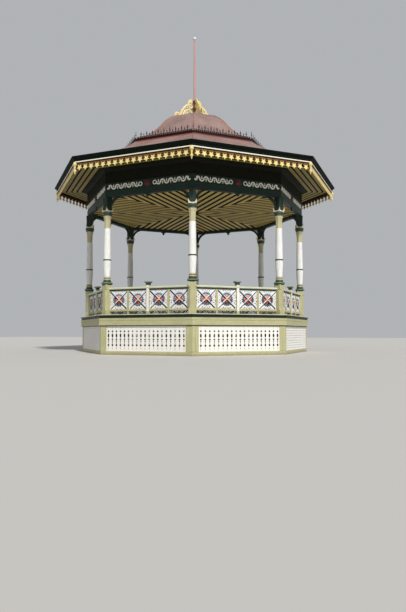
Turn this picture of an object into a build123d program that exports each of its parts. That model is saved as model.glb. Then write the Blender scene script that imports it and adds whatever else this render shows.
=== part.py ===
from build123d import *
from math import cos, pi, radians, sin, tan
import os

# An eight-sided timber bandstand, in millimetres, standing on the ground at z = 0.
# The middle of the floor is on the z axis, and one face is square to each of +X and +Y.
os.makedirs("parts", exist_ok=True)

# Plan
face_count = 8
face_angle = 360 / face_count
post_circle = 4400.0
post_line = post_circle * cos(pi / face_count)
mitre_gap = 1.0
seat_gap = 0.3

# Base, from the ground up
sill_height = 138.0
sill_depth = 90.0
sill_reach = 237.0
skirt_height = 899.0
skirt_thickness = 30.0
skirt_reach = 220.0
wide_corner_board = 225.0
narrow_corner_board = 80.0
corner_board_thickness = 22.0
rim_height = 256.0
rim_depth = 140.0
rim_reach = 303.0
moulding_height = 103.0
moulding_reach = 312.0
deck_board = 29.0
deck_reach = 336.0

# Cut-outs of the pierced skirts, which are on two neighbouring faces and the two opposite
pierced_faces = (2, 3)
slot_columns = 19
slot_pitch = 160.0
slot_width = 45.0
slot_height = 110.0
slot_level = 499.0

# Newel posts under the columns, and the lighter posts between them
newel_width = 280.0
newel_chamfer = 38.0
newel_height = 1085.0
newel_cap_width = 347.0
newel_cap_chamfer = 46.0
newel_cap_height = 90.0
middle_post_width = 118.0
middle_post_height = 1064.0
middle_cap_width = 236.0
middle_cap_height = 90.0

# Railing
bottom_rail_gap = 112.0
bottom_rail_height = 74.0
bottom_rail_depth = 76.0
top_rail_level = 895.0
top_rail_height = 75.0
top_rail_depth = 150.0
under_rail_height = 50.0
under_rail_depth = 64.0
mullion_width = 74.0
mullion_depth = 60.0
panels_per_side = 2

# Pierced panels of the railing: crossed bars over an eight-sided opening
panel_thickness = 24.0
panel_opening_radius = 180.0
panel_bar = 52.0

# Turned columns
column_sides = 10
foot_ring_radius = 139.0
foot_ring_height = 192.0
foot_ring_top_radius = 130.0
drum_foot_radius = 108.0
drum_height = 600.0
drum_top_radius = 136.0
ring_height = 26.0
ring_radius = 143.0
shaft_foot_radius = 130.0
shaft_height = 1130.0
shaft_top_radius = 117.0
neck_height = 455.0
neck_flare_height = 90.0
neck_foot_width = 208.0
neck_middle_width = 232.0
neck_top_width = 272.0
collar_height = 55.0
collar_radius = 164.0
capital_height = 100.0
capital_radius = 180.0

# Upper posts, beams and the wall over them
upper_post_width = 250.0
upper_post_chamfer = 26.0
upper_post_height = 519.0
beam_height = 203.0
beam_depth = 200.0
beam_reach = 112.0
frieze_height = 230.0
frieze_inset = 24.0
pendant_width = 220.0
pendant_waist = 92.0
pendant_height = 126.0
rosette_sides = 8
rosette_radius = 110.0
rosette_thickness = 24.0
bracket_radius = 500.0
bracket_thickness = 60.0
bracket_root = 30.0
bracket_steps = 6
wall_depth = 120.0
ceiling_level = 120.0
ceiling_thickness = 40.0

# Eaves
eave_reach = 1287.0
soffit_level = 583.0
soffit_thickness = 22.0
gutter_height = 185.0
gutter_flare = 101.0
gutter_depth = 150.0
gutter_fillet_height = 48.0
gutter_fillet_reach = 22.0
gutter_crown_height = 46.0
valance_height = 140.0
valance_thickness = 24.0
drop_count = 18
drop_width = 150.0
drop_height = 240.0
corner_drop_sides = 6
corner_drop_height = 430.0
corner_point_radius = 10.0
corner_point_height = 120.0
corner_ball_radius = 46.0
corner_neck_radius = 26.0
corner_neck_height = 80.0
corner_cap_radius = 62.0

# Roof
roof_pitch = 25.0
roof_top_slope = 39.0
roof_steps = 3
roof_thickness = 70.0
roof_top_reach = 2896.0
curb_height = 120.0
curb_depth = 70.0
cresting_thickness = 12.0
cresting_height = 60.0
spike_count = 9
spike_pitch = 243.0
spike_height = 170.0
spike_foot = 34.0
corner_spike_height = 285.0
corner_spike_width = 24.0
spike_tip = 6.0
dome_foot_inset = 22.0
dome_shoulder_radius = 1650.0
dome_shoulder_rise = 965.0
dome_shoulder_slope = 52.0
dome_crown_radius = 240.0
dome_crown_rise = 1665.0
dome_wall = 70.0

# Finial on the dome: a turned plinth between four scrolls, the flagpole and its ball
scroll_reach = 905.0
scroll_thickness = 40.0
scroll_eye_sides = 5
pole_sides = 16
pole_foot_radius = 225.0
pole_foot_height = 60.0
plinth_radius = 92.0
plinth_waist_radius = 56.0
plinth_ring_height = 60.0
plinth_waist_height = 261.5
pole_radius = 45.0
pole_tip_radius = 32.0
pole_length = 2637.0
ball_radius = 76.0
ball_flat_angle = 64.0
ball_steps = 5

# A scroll's back, from toe to plinth, and its eyes, both out from the middle and over the dome's crown
scroll_back = (
    (890.0, 85.0),
    (800.0, 165.0),
    (700.0, 153.0),
    (645.0, 125.0),
    (590.0, 255.0),
    (500.0, 400.0),
    (390.0, 515.0),
    (290.0, 570.0),
    (262.0, 665.0),
    (212.0, 750.0),
    (140.0, 785.0),
)
scroll_eyes = (
    (775.0, 47.0, 60.0),
    (450.0, 215.0, 110.0),
    (205.0, 465.0, 60.0),
    (170.0, 680.0, 45.0),
)

# Levels worked out from the heights above
skirt_level = sill_height
rim_level = skirt_level + skirt_height
moulding_level = rim_level + rim_height
deck_level = moulding_level + moulding_height + deck_board
newel_top = deck_level + newel_height
column_foot = newel_top + newel_cap_height
drum_foot = column_foot + foot_ring_height
drum_top = drum_foot + drum_height
shaft_foot = drum_top + ring_height
shaft_top = shaft_foot + shaft_height
neck_top = shaft_top + neck_height
collar_top = neck_top + collar_height
capital_top = collar_top + capital_height
beam_foot = capital_top + upper_post_height
beam_top = beam_foot + beam_height
frieze_top = beam_top + frieze_height
ceiling_foot = beam_foot + ceiling_level
soffit_foot = frieze_top + soffit_level
gutter_top = soffit_foot + gutter_height

# Distances out from the middle, square to a face
sill_face = post_line + sill_reach
skirt_face = post_line + skirt_reach
rim_face = post_line + rim_reach
moulding_face = post_line + moulding_reach
beam_face = post_line + beam_reach
eave_face = post_line + eave_reach
gutter_face = eave_face + gutter_flare
gutter_back = eave_face - gutter_depth
beam_back = beam_face - beam_depth
wall_back = beam_face - wall_depth


def arc_through(start, end, slope):
    """Middle and radius of the arc that leaves start at a slope in degrees and ends at end.

    The radius is negative where the arc is hollow.
    """
    chord_out = end[0] - start[0]
    chord_up = end[1] - start[1]
    # The middle lies square to the tangent, at the distance that puts both ends on the circle
    square = (-sin(radians(slope)), -cos(radians(slope)))
    radius = (chord_out**2 + chord_up**2) / 2 / (chord_out * square[0] + chord_up * square[1])
    return (start[0] + radius * square[0], start[1] + radius * square[1]), radius


roof_top_level = gutter_top + (gutter_face - roof_top_reach) * tan(radians(roof_pitch))
roof_head = (roof_top_reach, roof_top_level)
roof_edge = (gutter_face, gutter_top)
roof_middle, roof_radius = arc_through(roof_head, roof_edge, roof_top_slope)
underside_radius = abs(roof_radius) + roof_thickness


def roof_top_at(distance):
    """Height of the roof's hollow upper surface at a distance out from the middle."""
    return roof_middle[1] - (roof_radius**2 - (distance - roof_middle[0]) ** 2) ** 0.5


def roof_underside_at(distance):
    """Height of the roof's lower surface at a distance out from the middle."""
    return roof_middle[1] - (underside_radius**2 - (distance - roof_middle[0]) ** 2) ** 0.5


curb_foot = roof_underside_at(roof_top_reach)
curb_top = roof_top_level + curb_height
dome_foot = curb_top
dome_foot_reach = roof_top_reach - dome_foot_inset
dome_crown = dome_foot + dome_crown_rise
dome_shoulder = (dome_shoulder_radius, dome_foot + dome_shoulder_rise)
dome_foot_end = (dome_foot_reach, dome_foot)
dome_crown_end = (dome_crown_radius, dome_crown)
crown_middle, crown_radius = arc_through(dome_shoulder, dome_crown_end, dome_shoulder_slope)
flare_middle, flare_radius = arc_through(dome_shoulder, dome_foot_end, dome_shoulder_slope)
plinth_foot = dome_crown + pole_foot_height
plinth_middle = plinth_foot + plinth_ring_height + plinth_waist_height
plinth_top = plinth_middle + plinth_ring_height + plinth_waist_height + plinth_ring_height
pole_top = plinth_top + pole_length
sector_margin = 200.0
sector_reach = gutter_face + sector_margin
sector_top = dome_crown + sector_margin


def face_plane(distance):
    """Upright plane on the +X face: x runs along the face, y is up and z points outwards."""
    return Plane(origin=(distance, 0, 0), x_dir=(0, 1, 0), z_dir=(1, 0, 0))


def face_width(distance):
    """Length of a face whose distance out from the middle is given."""
    return 2 * distance * tan(pi / face_count)


def crown_height_at(distance):
    """Height of the dome's upper curve at a distance out from the middle."""
    across = distance - crown_middle[0]
    return crown_middle[1] + (crown_radius**2 - across**2) ** 0.5


def flare_height_at(distance):
    """Height of the dome's lower, hollow curve at a distance out from the middle."""
    across = distance - flare_middle[0]
    return flare_middle[1] - (flare_radius**2 - across**2) ** 0.5


def arc_points(middle, radius, start, end, steps):
    """Evenly spaced points on an arc, from one angle in degrees to another."""
    angles = [radians(start + (end - start) * step / steps) for step in range(steps + 1)]
    return [(middle[0] + radius * cos(angle), middle[1] + radius * sin(angle)) for angle in angles]


# One eighth of the plan, less half a mitre gap on each side
with BuildPart() as sector:
    with BuildSketch(Plane.XY):
        apex = mitre_gap / 2 / sin(pi / face_count)
        spread = (sector_reach - apex) * tan(pi / face_count)
        with BuildLine():
            Polyline((apex, 0), (sector_reach, spread), (sector_reach, -spread), close=True)
        make_face()
    extrude(amount=sector_top)


def turned_to(piece, *turns):
    """The piece turned about the z axis, once by each of the given numbers of faces."""
    with BuildPart() as ring:
        with Locations(*[Location((0, 0, 0), (0, 0, turn * face_angle)) for turn in turns]):
            add(piece)
    return ring.part


def repeated_round(piece):
    """The same piece on each of the eight faces."""
    return turned_to(piece, *range(face_count))


def repeated_at_corners(piece):
    """The same piece, made on +X, on each of the eight corners."""
    return turned_to(piece, *[index + 0.5 for index in range(face_count)])


def ring_of_boards(*outline):
    """Eight mitred boards round the octagon, whose section is an outline of (out, up) points."""
    with BuildPart() as board:
        with BuildSketch(Plane.XZ):
            with BuildLine():
                Polyline(*outline, close=True)
            make_face()
        extrude(amount=sector_reach, both=True)
        add(sector.part, mode=Mode.INTERSECT)
    return repeated_round(board.part)


def ring_of_bars(outer, depth, foot, height):
    """Eight mitred boards of plain rectangular section."""
    inner = outer - depth
    top = foot + height
    return ring_of_boards((inner, foot), (outer, foot), (outer, top), (inner, top))


def corner_posts(width, chamfer_size, foot, height):
    """Eight square posts with chamfered corners, turned to face out at the corners."""
    with BuildPart() as posts:
        with BuildSketch(Plane.XY.offset(foot)) as section:
            with PolarLocations(post_circle, face_count, start_angle=face_angle / 2):
                Rectangle(width, width)
            chamfer(section.vertices(), length=chamfer_size)
        extrude(amount=height)
    return posts.part


def turning(sides, *profile):
    """An upright turning with flat sides, from (distance to a flat, height) points going up."""
    with BuildPart() as turned:
        for (foot_reach, foot), (head_reach, head) in zip(profile, profile[1:]):
            if head > foot:
                with BuildSketch(Plane.XY.offset(foot)):
                    RegularPolygon(foot_reach, sides, major_radius=False, rotation=180 / sides)
                with BuildSketch(Plane.XY.offset(head)):
                    RegularPolygon(head_reach, sides, major_radius=False, rotation=180 / sides)
                loft(ruled=True)
    return turned.part


def save(part, name):
    """Label a finished piece and write it as a STEP file of the same name."""
    part.label = name
    export_step(part, f"parts/{name}.step")


# Sill: timbers on the ground under the skirts
save(ring_of_bars(sill_face, sill_depth, 0, sill_height), "sill")

# Skirts: boarded panels closing the base, between boards at the corners
corner_boards_made = []
for kind, corner_board_width in (
    ("pierced_skirt", wide_corner_board),
    ("clapboard_skirt", narrow_corner_board),
):
    pierced = kind == "pierced_skirt"
    faces = [index for index in range(face_count) if (index % 4 in pierced_faces) == pierced]
    skirt_width = face_width(skirt_face) - 2 * corner_board_width
    with BuildPart() as skirt:
        with BuildSketch(face_plane(skirt_face)):
            with Locations((0, skirt_level + skirt_height / 2)):
                Rectangle(skirt_width, skirt_height)
            if pierced:
                with Locations((0, skirt_level + slot_level + slot_height / 2)):
                    with GridLocations(slot_pitch, 0, slot_columns, 1):
                        Rectangle(slot_width, slot_height, mode=Mode.SUBTRACT)
        extrude(amount=-skirt_thickness)
    for index in faces:
        save(turned_to(skirt.part, index), f"{kind}_{index + 1}")

    # Corner boards: an upright board at each end of a face, mitred to the next face's board
    with BuildPart() as end_boards:
        with BuildSketch(face_plane(skirt_face + corner_board_thickness)):
            board_reach = face_width(skirt_face + corner_board_thickness) / 2
            board_edge = skirt_width / 2 + seat_gap
            for side in (-1, 1):
                with Locations((side * (board_edge + board_reach) / 2, skirt_level + skirt_height / 2)):
                    Rectangle(board_reach - board_edge, skirt_height)
        extrude(amount=-corner_board_thickness - skirt_thickness)
        add(sector.part, mode=Mode.INTERSECT)
    corner_boards_made.append(turned_to(end_boards.part, *faces))
with BuildPart() as corner_boards:
    add(corner_boards_made)
save(corner_boards.part, "corner_boards")

# Rim: the deep board under the floor's edge, and the moulding over it
save(ring_of_bars(rim_face, rim_depth, rim_level, rim_height), "rim_board")
moulding_back = rim_face - rim_depth
deck_moulding = ring_of_boards(
    (moulding_back, moulding_level),
    (rim_face, moulding_level),
    (moulding_face, moulding_level + moulding_height / 2),
    (moulding_face, moulding_level + moulding_height),
    (moulding_back, moulding_level + moulding_height),
)
save(deck_moulding, "deck_moulding")

# Deck: the floor's boards, over framing that fits inside the moulding
with BuildPart() as deck:
    with BuildSketch(Plane.XY.offset(deck_level - deck_board)):
        RegularPolygon(post_line + deck_reach, face_count, major_radius=False, rotation=face_angle / 2)
    extrude(amount=deck_board)
    with BuildSketch(Plane.XY.offset(moulding_level)):
        framing_face = moulding_back - seat_gap
        RegularPolygon(framing_face, face_count, major_radius=False, rotation=face_angle / 2)
    extrude(amount=moulding_height)
save(deck.part, "deck")

# Newel posts: the pedestals that the columns stand on, each with a chamfered cap
with BuildPart() as newel_posts:
    add(corner_posts(newel_width, newel_chamfer, deck_level, newel_height))
    add(corner_posts(newel_cap_width, newel_cap_chamfer, newel_top, newel_cap_height))
save(newel_posts.part, "newel_posts")

# Columns: turned shafts with a foot, a ring, a flared eight-sided neck and a capital
with BuildPart() as column:
    shaft = turning(
        column_sides,
        (foot_ring_radius, column_foot),
        (foot_ring_top_radius, drum_foot),
        (drum_foot_radius, drum_foot),
        (drum_top_radius, drum_top),
        (ring_radius, drum_top),
        (ring_radius, shaft_foot),
        (shaft_foot_radius, shaft_foot),
        (shaft_top_radius, shaft_top),
    )
    neck = turning(
        face_count,
        (neck_foot_width / 2, shaft_top),
        (neck_middle_width / 2, neck_top - neck_flare_height),
        (neck_top_width / 2, neck_top),
    )
    capital = turning(
        column_sides,
        (collar_radius, neck_top),
        (collar_radius, collar_top),
        (capital_radius, collar_top),
        (capital_radius, capital_top),
    )
    with Locations((post_circle, 0, 0)):
        add([shaft, neck, capital])
for index in range(face_count):
    save(turned_to(column.part, index + 0.5), f"column_{index + 1}")

# Upper posts: square timbers from the capitals to the beams
upper_posts = corner_posts(upper_post_width, upper_post_chamfer, capital_top, upper_post_height)
save(upper_posts, "upper_posts")

# Railing: one bay on each face, with a capped post in the middle and pierced panels
bay_reach = face_width(post_line) / 2
bottom_rail = deck_level + bottom_rail_gap
top_rail = deck_level + top_rail_level
panel_foot = bottom_rail + bottom_rail_height
panel_top = top_rail - under_rail_height
panel_height = panel_top - panel_foot
half_bay = bay_reach - newel_width / 2 / cos(pi / face_count) - middle_post_width / 2
panel_width = (half_bay - (panels_per_side - 1) * mullion_width) / panels_per_side
panel_middle = (panel_foot + panel_top) / 2
first_panel = middle_post_width / 2 + panel_width / 2
panel_places = [
    side * (first_panel + step * (panel_width + mullion_width))
    for side in (-1, 1)
    for step in range(panels_per_side)
]
mullion_places = [
    side * (middle_post_width / 2 + step * (panel_width + mullion_width) - mullion_width / 2)
    for side in (-1, 1)
    for step in range(1, panels_per_side)
]

with BuildSketch() as panel:
    Rectangle(panel_width, panel_height)
    RegularPolygon(panel_opening_radius, face_count, mode=Mode.SUBTRACT)
    for turn in (-45, 45):
        Rectangle(2 * panel_opening_radius, panel_bar, rotation=turn)
with BuildPart() as bay:
    with BuildSketch(face_plane(post_line - bottom_rail_depth / 2)):
        with Locations((0, bottom_rail + bottom_rail_height / 2)):
            Rectangle(2 * bay_reach, bottom_rail_height)
    extrude(amount=bottom_rail_depth)
    with BuildSketch(Plane.XZ):
        with BuildLine():
            Polyline(
                (post_line - under_rail_depth / 2, panel_top),
                (post_line + under_rail_depth / 2, panel_top),
                (post_line + under_rail_depth / 2, top_rail),
                (post_line + top_rail_depth / 2, top_rail),
                (post_line + top_rail_depth / 2, top_rail + top_rail_height),
                (post_line - top_rail_depth / 2, top_rail + top_rail_height),
                (post_line - top_rail_depth / 2, top_rail),
                (post_line - under_rail_depth / 2, top_rail),
                close=True,
            )
        make_face()
    extrude(amount=bay_reach, both=True)
    with BuildSketch(Plane.XY.offset(deck_level)):
        with Locations((post_line, 0)):
            Rectangle(middle_post_width, middle_post_width)
    extrude(amount=middle_post_height)
    with BuildSketch(Plane.XY.offset(deck_level + middle_post_height)):
        with Locations((post_line, 0)):
            Rectangle(middle_cap_width, middle_cap_width)
    extrude(amount=middle_cap_height)
    with BuildSketch(face_plane(post_line - mullion_depth / 2)):
        with Locations(*[(place, (deck_level + top_rail) / 2) for place in mullion_places]):
            Rectangle(mullion_width, top_rail - deck_level)
    extrude(amount=mullion_depth)
    with BuildSketch(face_plane(post_line - panel_thickness / 2)):
        with Locations(*[(place, panel_middle) for place in panel_places]):
            add(panel.sketch)
    extrude(amount=panel_thickness)
    add(newel_posts.part, mode=Mode.SUBTRACT)
for index in range(face_count):
    save(turned_to(bay.part, index), f"railing_{index + 1}")

# Beams: the timbers over the posts, each with a pendant under it and a rosette on its frieze
frieze_face = beam_face - frieze_inset
with BuildPart() as beam:
    with BuildSketch(Plane.XZ):
        with BuildLine():
            Polyline(
                (beam_back, beam_foot),
                (beam_face, beam_foot),
                (beam_face, beam_top),
                (frieze_face, beam_top),
                (frieze_face, frieze_top),
                (beam_back, frieze_top),
                close=True,
            )
        make_face()
    extrude(amount=sector_reach, both=True)
    add(sector.part, mode=Mode.INTERSECT)
    with BuildSketch(face_plane(beam_face)):
        with BuildLine():
            Polyline(
                (-pendant_width / 2, beam_foot),
                (pendant_width / 2, beam_foot),
                (pendant_waist / 2, beam_foot - pendant_height / 2),
                (pendant_waist / 4, beam_foot - pendant_height),
                (-pendant_waist / 4, beam_foot - pendant_height),
                (-pendant_waist / 2, beam_foot - pendant_height / 2),
                close=True,
            )
        make_face()
    extrude(amount=-bracket_thickness)
    rosette_middle = beam_top + frieze_height / 2
    with BuildSketch(face_plane(frieze_face)):
        with Locations((0, rosette_middle)):
            RegularPolygon(rosette_radius, rosette_sides)
    extrude(amount=frieze_inset + rosette_thickness)
save(repeated_round(beam.part), "frieze_beams")

# Brackets: an arched spandrel on each side of every upper post, scribed to the post's side
post_side = bay_reach - upper_post_width / 2 / cos(pi / face_count)
arch_middle = (post_side - bracket_radius, beam_foot - bracket_radius)
with BuildPart() as bracket_pair:
    with BuildSketch(face_plane(post_line - bracket_thickness / 2)):
        with BuildLine():
            Polyline(
                *arc_points(arch_middle, bracket_radius, 0, 90, bracket_steps),
                (post_side + bracket_root, beam_foot),
                (post_side + bracket_root, arch_middle[1]),
                close=True,
            )
        make_face()
        mirror(about=Plane.YZ)
    extrude(amount=bracket_thickness)
    add(upper_posts, mode=Mode.SUBTRACT)
save(repeated_round(bracket_pair.part), "brackets")

# Upper wall: the boards between the frieze and the roof, and the ceiling inside the beams
upper_wall = ring_of_boards(
    (wall_back, frieze_top),
    (beam_face, frieze_top),
    (beam_face, roof_underside_at(beam_face)),
    (wall_back, roof_underside_at(wall_back)),
)
save(upper_wall, "upper_wall")
with BuildPart() as ceiling:
    with BuildSketch(Plane.XY.offset(ceiling_foot)):
        ceiling_reach = beam_back - seat_gap
        RegularPolygon(ceiling_reach, face_count, major_radius=False, rotation=face_angle / 2)
    extrude(amount=ceiling_thickness)
save(ceiling.part, "ceiling")

# Eaves: the boarded soffit, and the moulded gutter that it runs out to
save(ring_of_bars(gutter_back, gutter_back - beam_face, soffit_foot, soffit_thickness), "soffit")
gutter = ring_of_boards(
    (gutter_back, soffit_foot),
    (eave_face, soffit_foot),
    (eave_face + gutter_fillet_reach, soffit_foot + gutter_fillet_height),
    (gutter_face - gutter_fillet_reach, gutter_top - gutter_crown_height),
    (gutter_face, gutter_top - gutter_crown_height),
    (gutter_face, gutter_top),
    (gutter_back, gutter_top),
)
save(gutter, "gutter")

# Valance: a strip under the gutter cut to a row of pointed drops, with a turned drop at each corner
drop_foot = soffit_foot - valance_height
corner_drop_foot = soffit_foot - seat_gap - corner_drop_height
corner_ball_middle = corner_drop_foot + corner_point_height
corner_cap_foot = corner_ball_middle + corner_neck_height
valance_end = corner_cap_radius / cos(pi / corner_drop_sides) + valance_thickness / 2 + seat_gap
valance_length = face_width(eave_face) - 2 * valance_end
with BuildSketch() as drop:
    with BuildLine():
        Polyline(
            (-drop_width / 2, 0),
            (0, -drop_height),
            (drop_width / 2, 0),
            close=True,
        )
    make_face()
with BuildPart() as valance_board:
    with BuildSketch(face_plane(eave_face)):
        with Locations((0, soffit_foot - valance_height / 2)):
            Rectangle(valance_length, valance_height)
        with Locations((0, drop_foot)):
            with GridLocations(valance_length / drop_count, 0, drop_count, 1):
                add(drop.sketch)
    extrude(amount=-valance_thickness)
with BuildPart() as corner_drop:
    turned_drop = turning(
        corner_drop_sides,
        (corner_point_radius, corner_drop_foot),
        (corner_ball_radius, corner_ball_middle),
        (corner_neck_radius, corner_cap_foot),
        (corner_cap_radius, corner_cap_foot),
        (corner_cap_radius, soffit_foot - seat_gap),
    )
    with Locations(((eave_face - valance_thickness / 2) / cos(pi / face_count), 0, 0)):
        add(turned_drop)
with BuildPart() as valance:
    add(repeated_round(valance_board.part))
    add(repeated_at_corners(corner_drop.part))
save(valance.part, "valance")

# Lower roof: eight hollow panels from the gutter up to the curb of the dome, folded at the wall's faces
roof_toe = roof_middle[0] - (underside_radius**2 - (roof_middle[1] - gutter_top) ** 2) ** 0.5
upper_folds = [
    roof_top_reach + (wall_back - roof_top_reach) * step / roof_steps for step in range(roof_steps)
]
roof_folds = (*upper_folds, wall_back, beam_face, (beam_face + gutter_face) / 2)
lower_roof = ring_of_boards(
    *[(fold, roof_top_at(fold)) for fold in roof_folds],
    roof_edge,
    (roof_toe, gutter_top),
    *[(fold, roof_underside_at(fold)) for fold in reversed(roof_folds)],
)
save(lower_roof, "lower_roof")
save(ring_of_bars(roof_top_reach, curb_depth, curb_foot, curb_top - curb_foot), "dome_curb")

# Cresting: an iron edge on the curb, with spikes along it and a taller one at each corner
spike_root = curb_top + cresting_height
with BuildSketch() as spike:
    with BuildLine():
        Polyline((-spike_foot / 2, 0), (spike_foot / 2, 0), (0, spike_height), close=True)
    make_face()
with BuildPart() as cresting_side:
    with BuildSketch(face_plane(roof_top_reach)):
        with Locations((0, (curb_top + spike_root) / 2)):
            Rectangle(face_width(roof_top_reach) - 2 * corner_spike_width, cresting_height)
        with Locations((0, spike_root)):
            with GridLocations(spike_pitch, 0, spike_count, 1):
                add(spike.sketch)
    extrude(amount=-cresting_thickness)
with BuildPart() as corner_spike:
    pointed_bar = turning(
        4,
        (corner_spike_width / 2, curb_top),
        (spike_tip / 2, curb_top + corner_spike_height),
    )
    with Locations(((roof_top_reach - cresting_thickness / 2) / cos(pi / face_count), 0, 0)):
        add(pointed_bar)
with BuildPart() as cresting:
    add(repeated_round(cresting_side.part))
    add(repeated_at_corners(corner_spike.part))
save(cresting.part, "cresting")

# Dome: eight curved faces, hollow at the foot and full at the crown
upward = (-cos(radians(dome_shoulder_slope)), sin(radians(dome_shoulder_slope)))
downward = (-upward[0], -upward[1])
with BuildPart() as gore:
    with BuildSketch(Plane.XZ):
        with BuildLine():
            TangentArc(dome_shoulder, dome_foot_end, tangent=downward)
            TangentArc(dome_shoulder, dome_crown_end, tangent=upward)
            inner_foot = dome_foot_reach - dome_wall
            inner_flare = (inner_foot + dome_shoulder_radius) / 2
            inner_crown = (dome_shoulder_radius + dome_crown_radius) / 2
            Polyline(
                dome_foot_end,
                (inner_foot, dome_foot),
                (inner_flare, flare_height_at(inner_flare) - 2 * dome_wall),
                (dome_shoulder_radius - dome_wall, dome_shoulder[1] - dome_wall),
                (inner_crown, crown_height_at(inner_crown) - dome_wall),
                (dome_crown_radius, dome_crown - dome_wall),
                dome_crown_end,
            )
        make_face()
    extrude(amount=sector_reach, both=True)
    add(sector.part, mode=Mode.INTERSECT)
save(repeated_round(gore.part), "dome")

# Scrolls: four pierced gold braces from the shoulders of the dome up to the plinth of the flagpole
with BuildPart() as scroll:
    with BuildSketch(Plane.XZ):
        with BuildLine():
            seat_foot = (scroll_reach, crown_height_at(scroll_reach) + seat_gap)
            seat_top = (pole_foot_radius + seat_gap, crown_height_at(pole_foot_radius) + seat_gap)
            seat_between = (scroll_reach + pole_foot_radius) / 2
            seat_middle = (seat_between, crown_height_at(seat_between) + seat_gap)
            Polyline(
                seat_foot,
                *[(out, dome_crown + up) for out, up in scroll_back],
                (plinth_radius + seat_gap, plinth_top),
                (plinth_radius + seat_gap, plinth_foot + seat_gap),
                (pole_foot_radius + seat_gap, plinth_foot + seat_gap),
                seat_top,
            )
            ThreePointArc(seat_top, seat_middle, seat_foot)
        make_face()
        for out, up, eye_radius in scroll_eyes:
            with Locations((out, dome_crown + up)):
                RegularPolygon(eye_radius, scroll_eye_sides, mode=Mode.SUBTRACT)
    extrude(amount=scroll_thickness / 2, both=True)
save(turned_to(scroll.part, 1, 3, 5, 7), "dome_scrolls")

# Flagpole: a plug in the crown of the dome, a turned foot and plinth, and the pole, with a ball on top
with BuildPart() as flagpole:
    plug_reach = dome_crown_radius - seat_gap
    add(turning(face_count, (plug_reach, dome_crown - dome_wall), (plug_reach, dome_crown)))
    turned_pole = turning(
        pole_sides,
        (pole_foot_radius, dome_crown),
        (pole_foot_radius, plinth_foot),
        (plinth_radius, plinth_foot),
        (plinth_radius, plinth_foot + plinth_ring_height),
        (plinth_waist_radius, plinth_middle),
        (plinth_radius, plinth_middle),
        (plinth_radius, plinth_middle + plinth_ring_height),
        (plinth_waist_radius, plinth_top - plinth_ring_height),
        (plinth_radius, plinth_top - plinth_ring_height),
        (plinth_radius, plinth_top),
        (pole_radius, plinth_top),
        (pole_tip_radius, pole_top),
    )
    add(turned_pole)
save(flagpole.part, "flagpole")
ball_middle = pole_top + ball_radius * sin(radians(ball_flat_angle))
ball_outline = arc_points((0, ball_middle), ball_radius, -ball_flat_angle, ball_flat_angle, ball_steps)
save(turning(pole_sides, *ball_outline), "pole_ball")
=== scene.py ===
from collections import namedtuple
from math import atan2, cos, pi, radians, sin, tan

import bpy
import numpy as np
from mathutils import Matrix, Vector
from mathutils.geometry import tessellate_polygon


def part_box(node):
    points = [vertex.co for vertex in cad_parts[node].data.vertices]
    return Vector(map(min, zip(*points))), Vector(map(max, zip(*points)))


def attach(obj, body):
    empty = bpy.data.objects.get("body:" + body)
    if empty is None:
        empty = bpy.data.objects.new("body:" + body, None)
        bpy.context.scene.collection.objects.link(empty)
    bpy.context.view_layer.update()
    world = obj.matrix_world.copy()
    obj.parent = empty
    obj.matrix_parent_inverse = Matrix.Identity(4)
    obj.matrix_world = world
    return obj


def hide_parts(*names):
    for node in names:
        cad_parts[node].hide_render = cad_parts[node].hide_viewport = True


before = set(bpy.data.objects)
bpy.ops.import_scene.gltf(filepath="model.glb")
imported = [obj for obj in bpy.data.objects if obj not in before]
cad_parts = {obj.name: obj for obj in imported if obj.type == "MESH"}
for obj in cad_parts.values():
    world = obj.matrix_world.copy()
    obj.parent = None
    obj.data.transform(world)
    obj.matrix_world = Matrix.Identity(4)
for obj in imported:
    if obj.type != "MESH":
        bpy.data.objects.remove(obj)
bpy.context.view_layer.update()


# Sill: heavy timbers laid flat on the ground under the skirts, mitred at the eight corners.
# They are painted sage like the corner boards, and their upper edge is eased to shed rain.
sides = 8
half_angle = pi / sides
face_turns = 2 * half_angle * np.arange(sides)
corner_turns = face_turns + half_angle
post_circle = 4.4
post_line = post_circle * cos(half_angle)
mitre_gap = 0.0012
dice = np.random.default_rng(11)
grain_reach = 9.0
tone_low, tone_high = 0.3, 0.7
tone_step = 0.12

# A closed mesh: points, blocks of faces with as many corners each, and for each point its place
# in the timber, x along the grain, and the tone of that timber's paint
Solid = namedtuple("Solid", "points faces grain tone")


def solid(points, faces, along=1):
    """A closed piece cut from one timber whose grain runs along the given axis.

    Six times its volume is the sum of a . (b x c) over the triangles of each face's fan, with all
    corners measured from its first point. Where that is negative, every face is turned over.
    """
    points = np.asarray(points, float)
    six_volumes = 0.0
    for block in faces:
        corners = points[block] - points[0]
        for step in range(1, block.shape[1] - 1):
            six_volumes += np.sum(corners[:, 0] * np.cross(corners[:, step], corners[:, step + 1]))
    if six_volumes < 0:
        faces = [block[:, ::-1] for block in faces]
    grain = np.roll(points, -along, axis=1) + dice.uniform(0, grain_reach, 3)
    return Solid(points, faces, grain, np.full(len(points), dice.uniform(tone_low, tone_high)))


def lofted(rings, ends=True, along=1):
    """Skin over n rings of m points: quads between rings i and i + 1, and a flat face at each end.

    Where ends is False the last ring is joined to the first instead.
    """
    rings = np.asarray(rings, float)
    index = np.arange(rings.shape[0] * rings.shape[1]).reshape(rings.shape[:2])
    near, far = (index[:-1], index[1:]) if ends else (index, np.roll(index, -1, 0))
    quads = np.stack([near, np.roll(near, -1, 1), np.roll(far, -1, 1), far], -1).reshape(-1, 4)
    caps = [index[:1, ::-1], index[-1:]] if ends else []
    return solid(rings.reshape(-1, 3), [quads, *caps], along)


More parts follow.
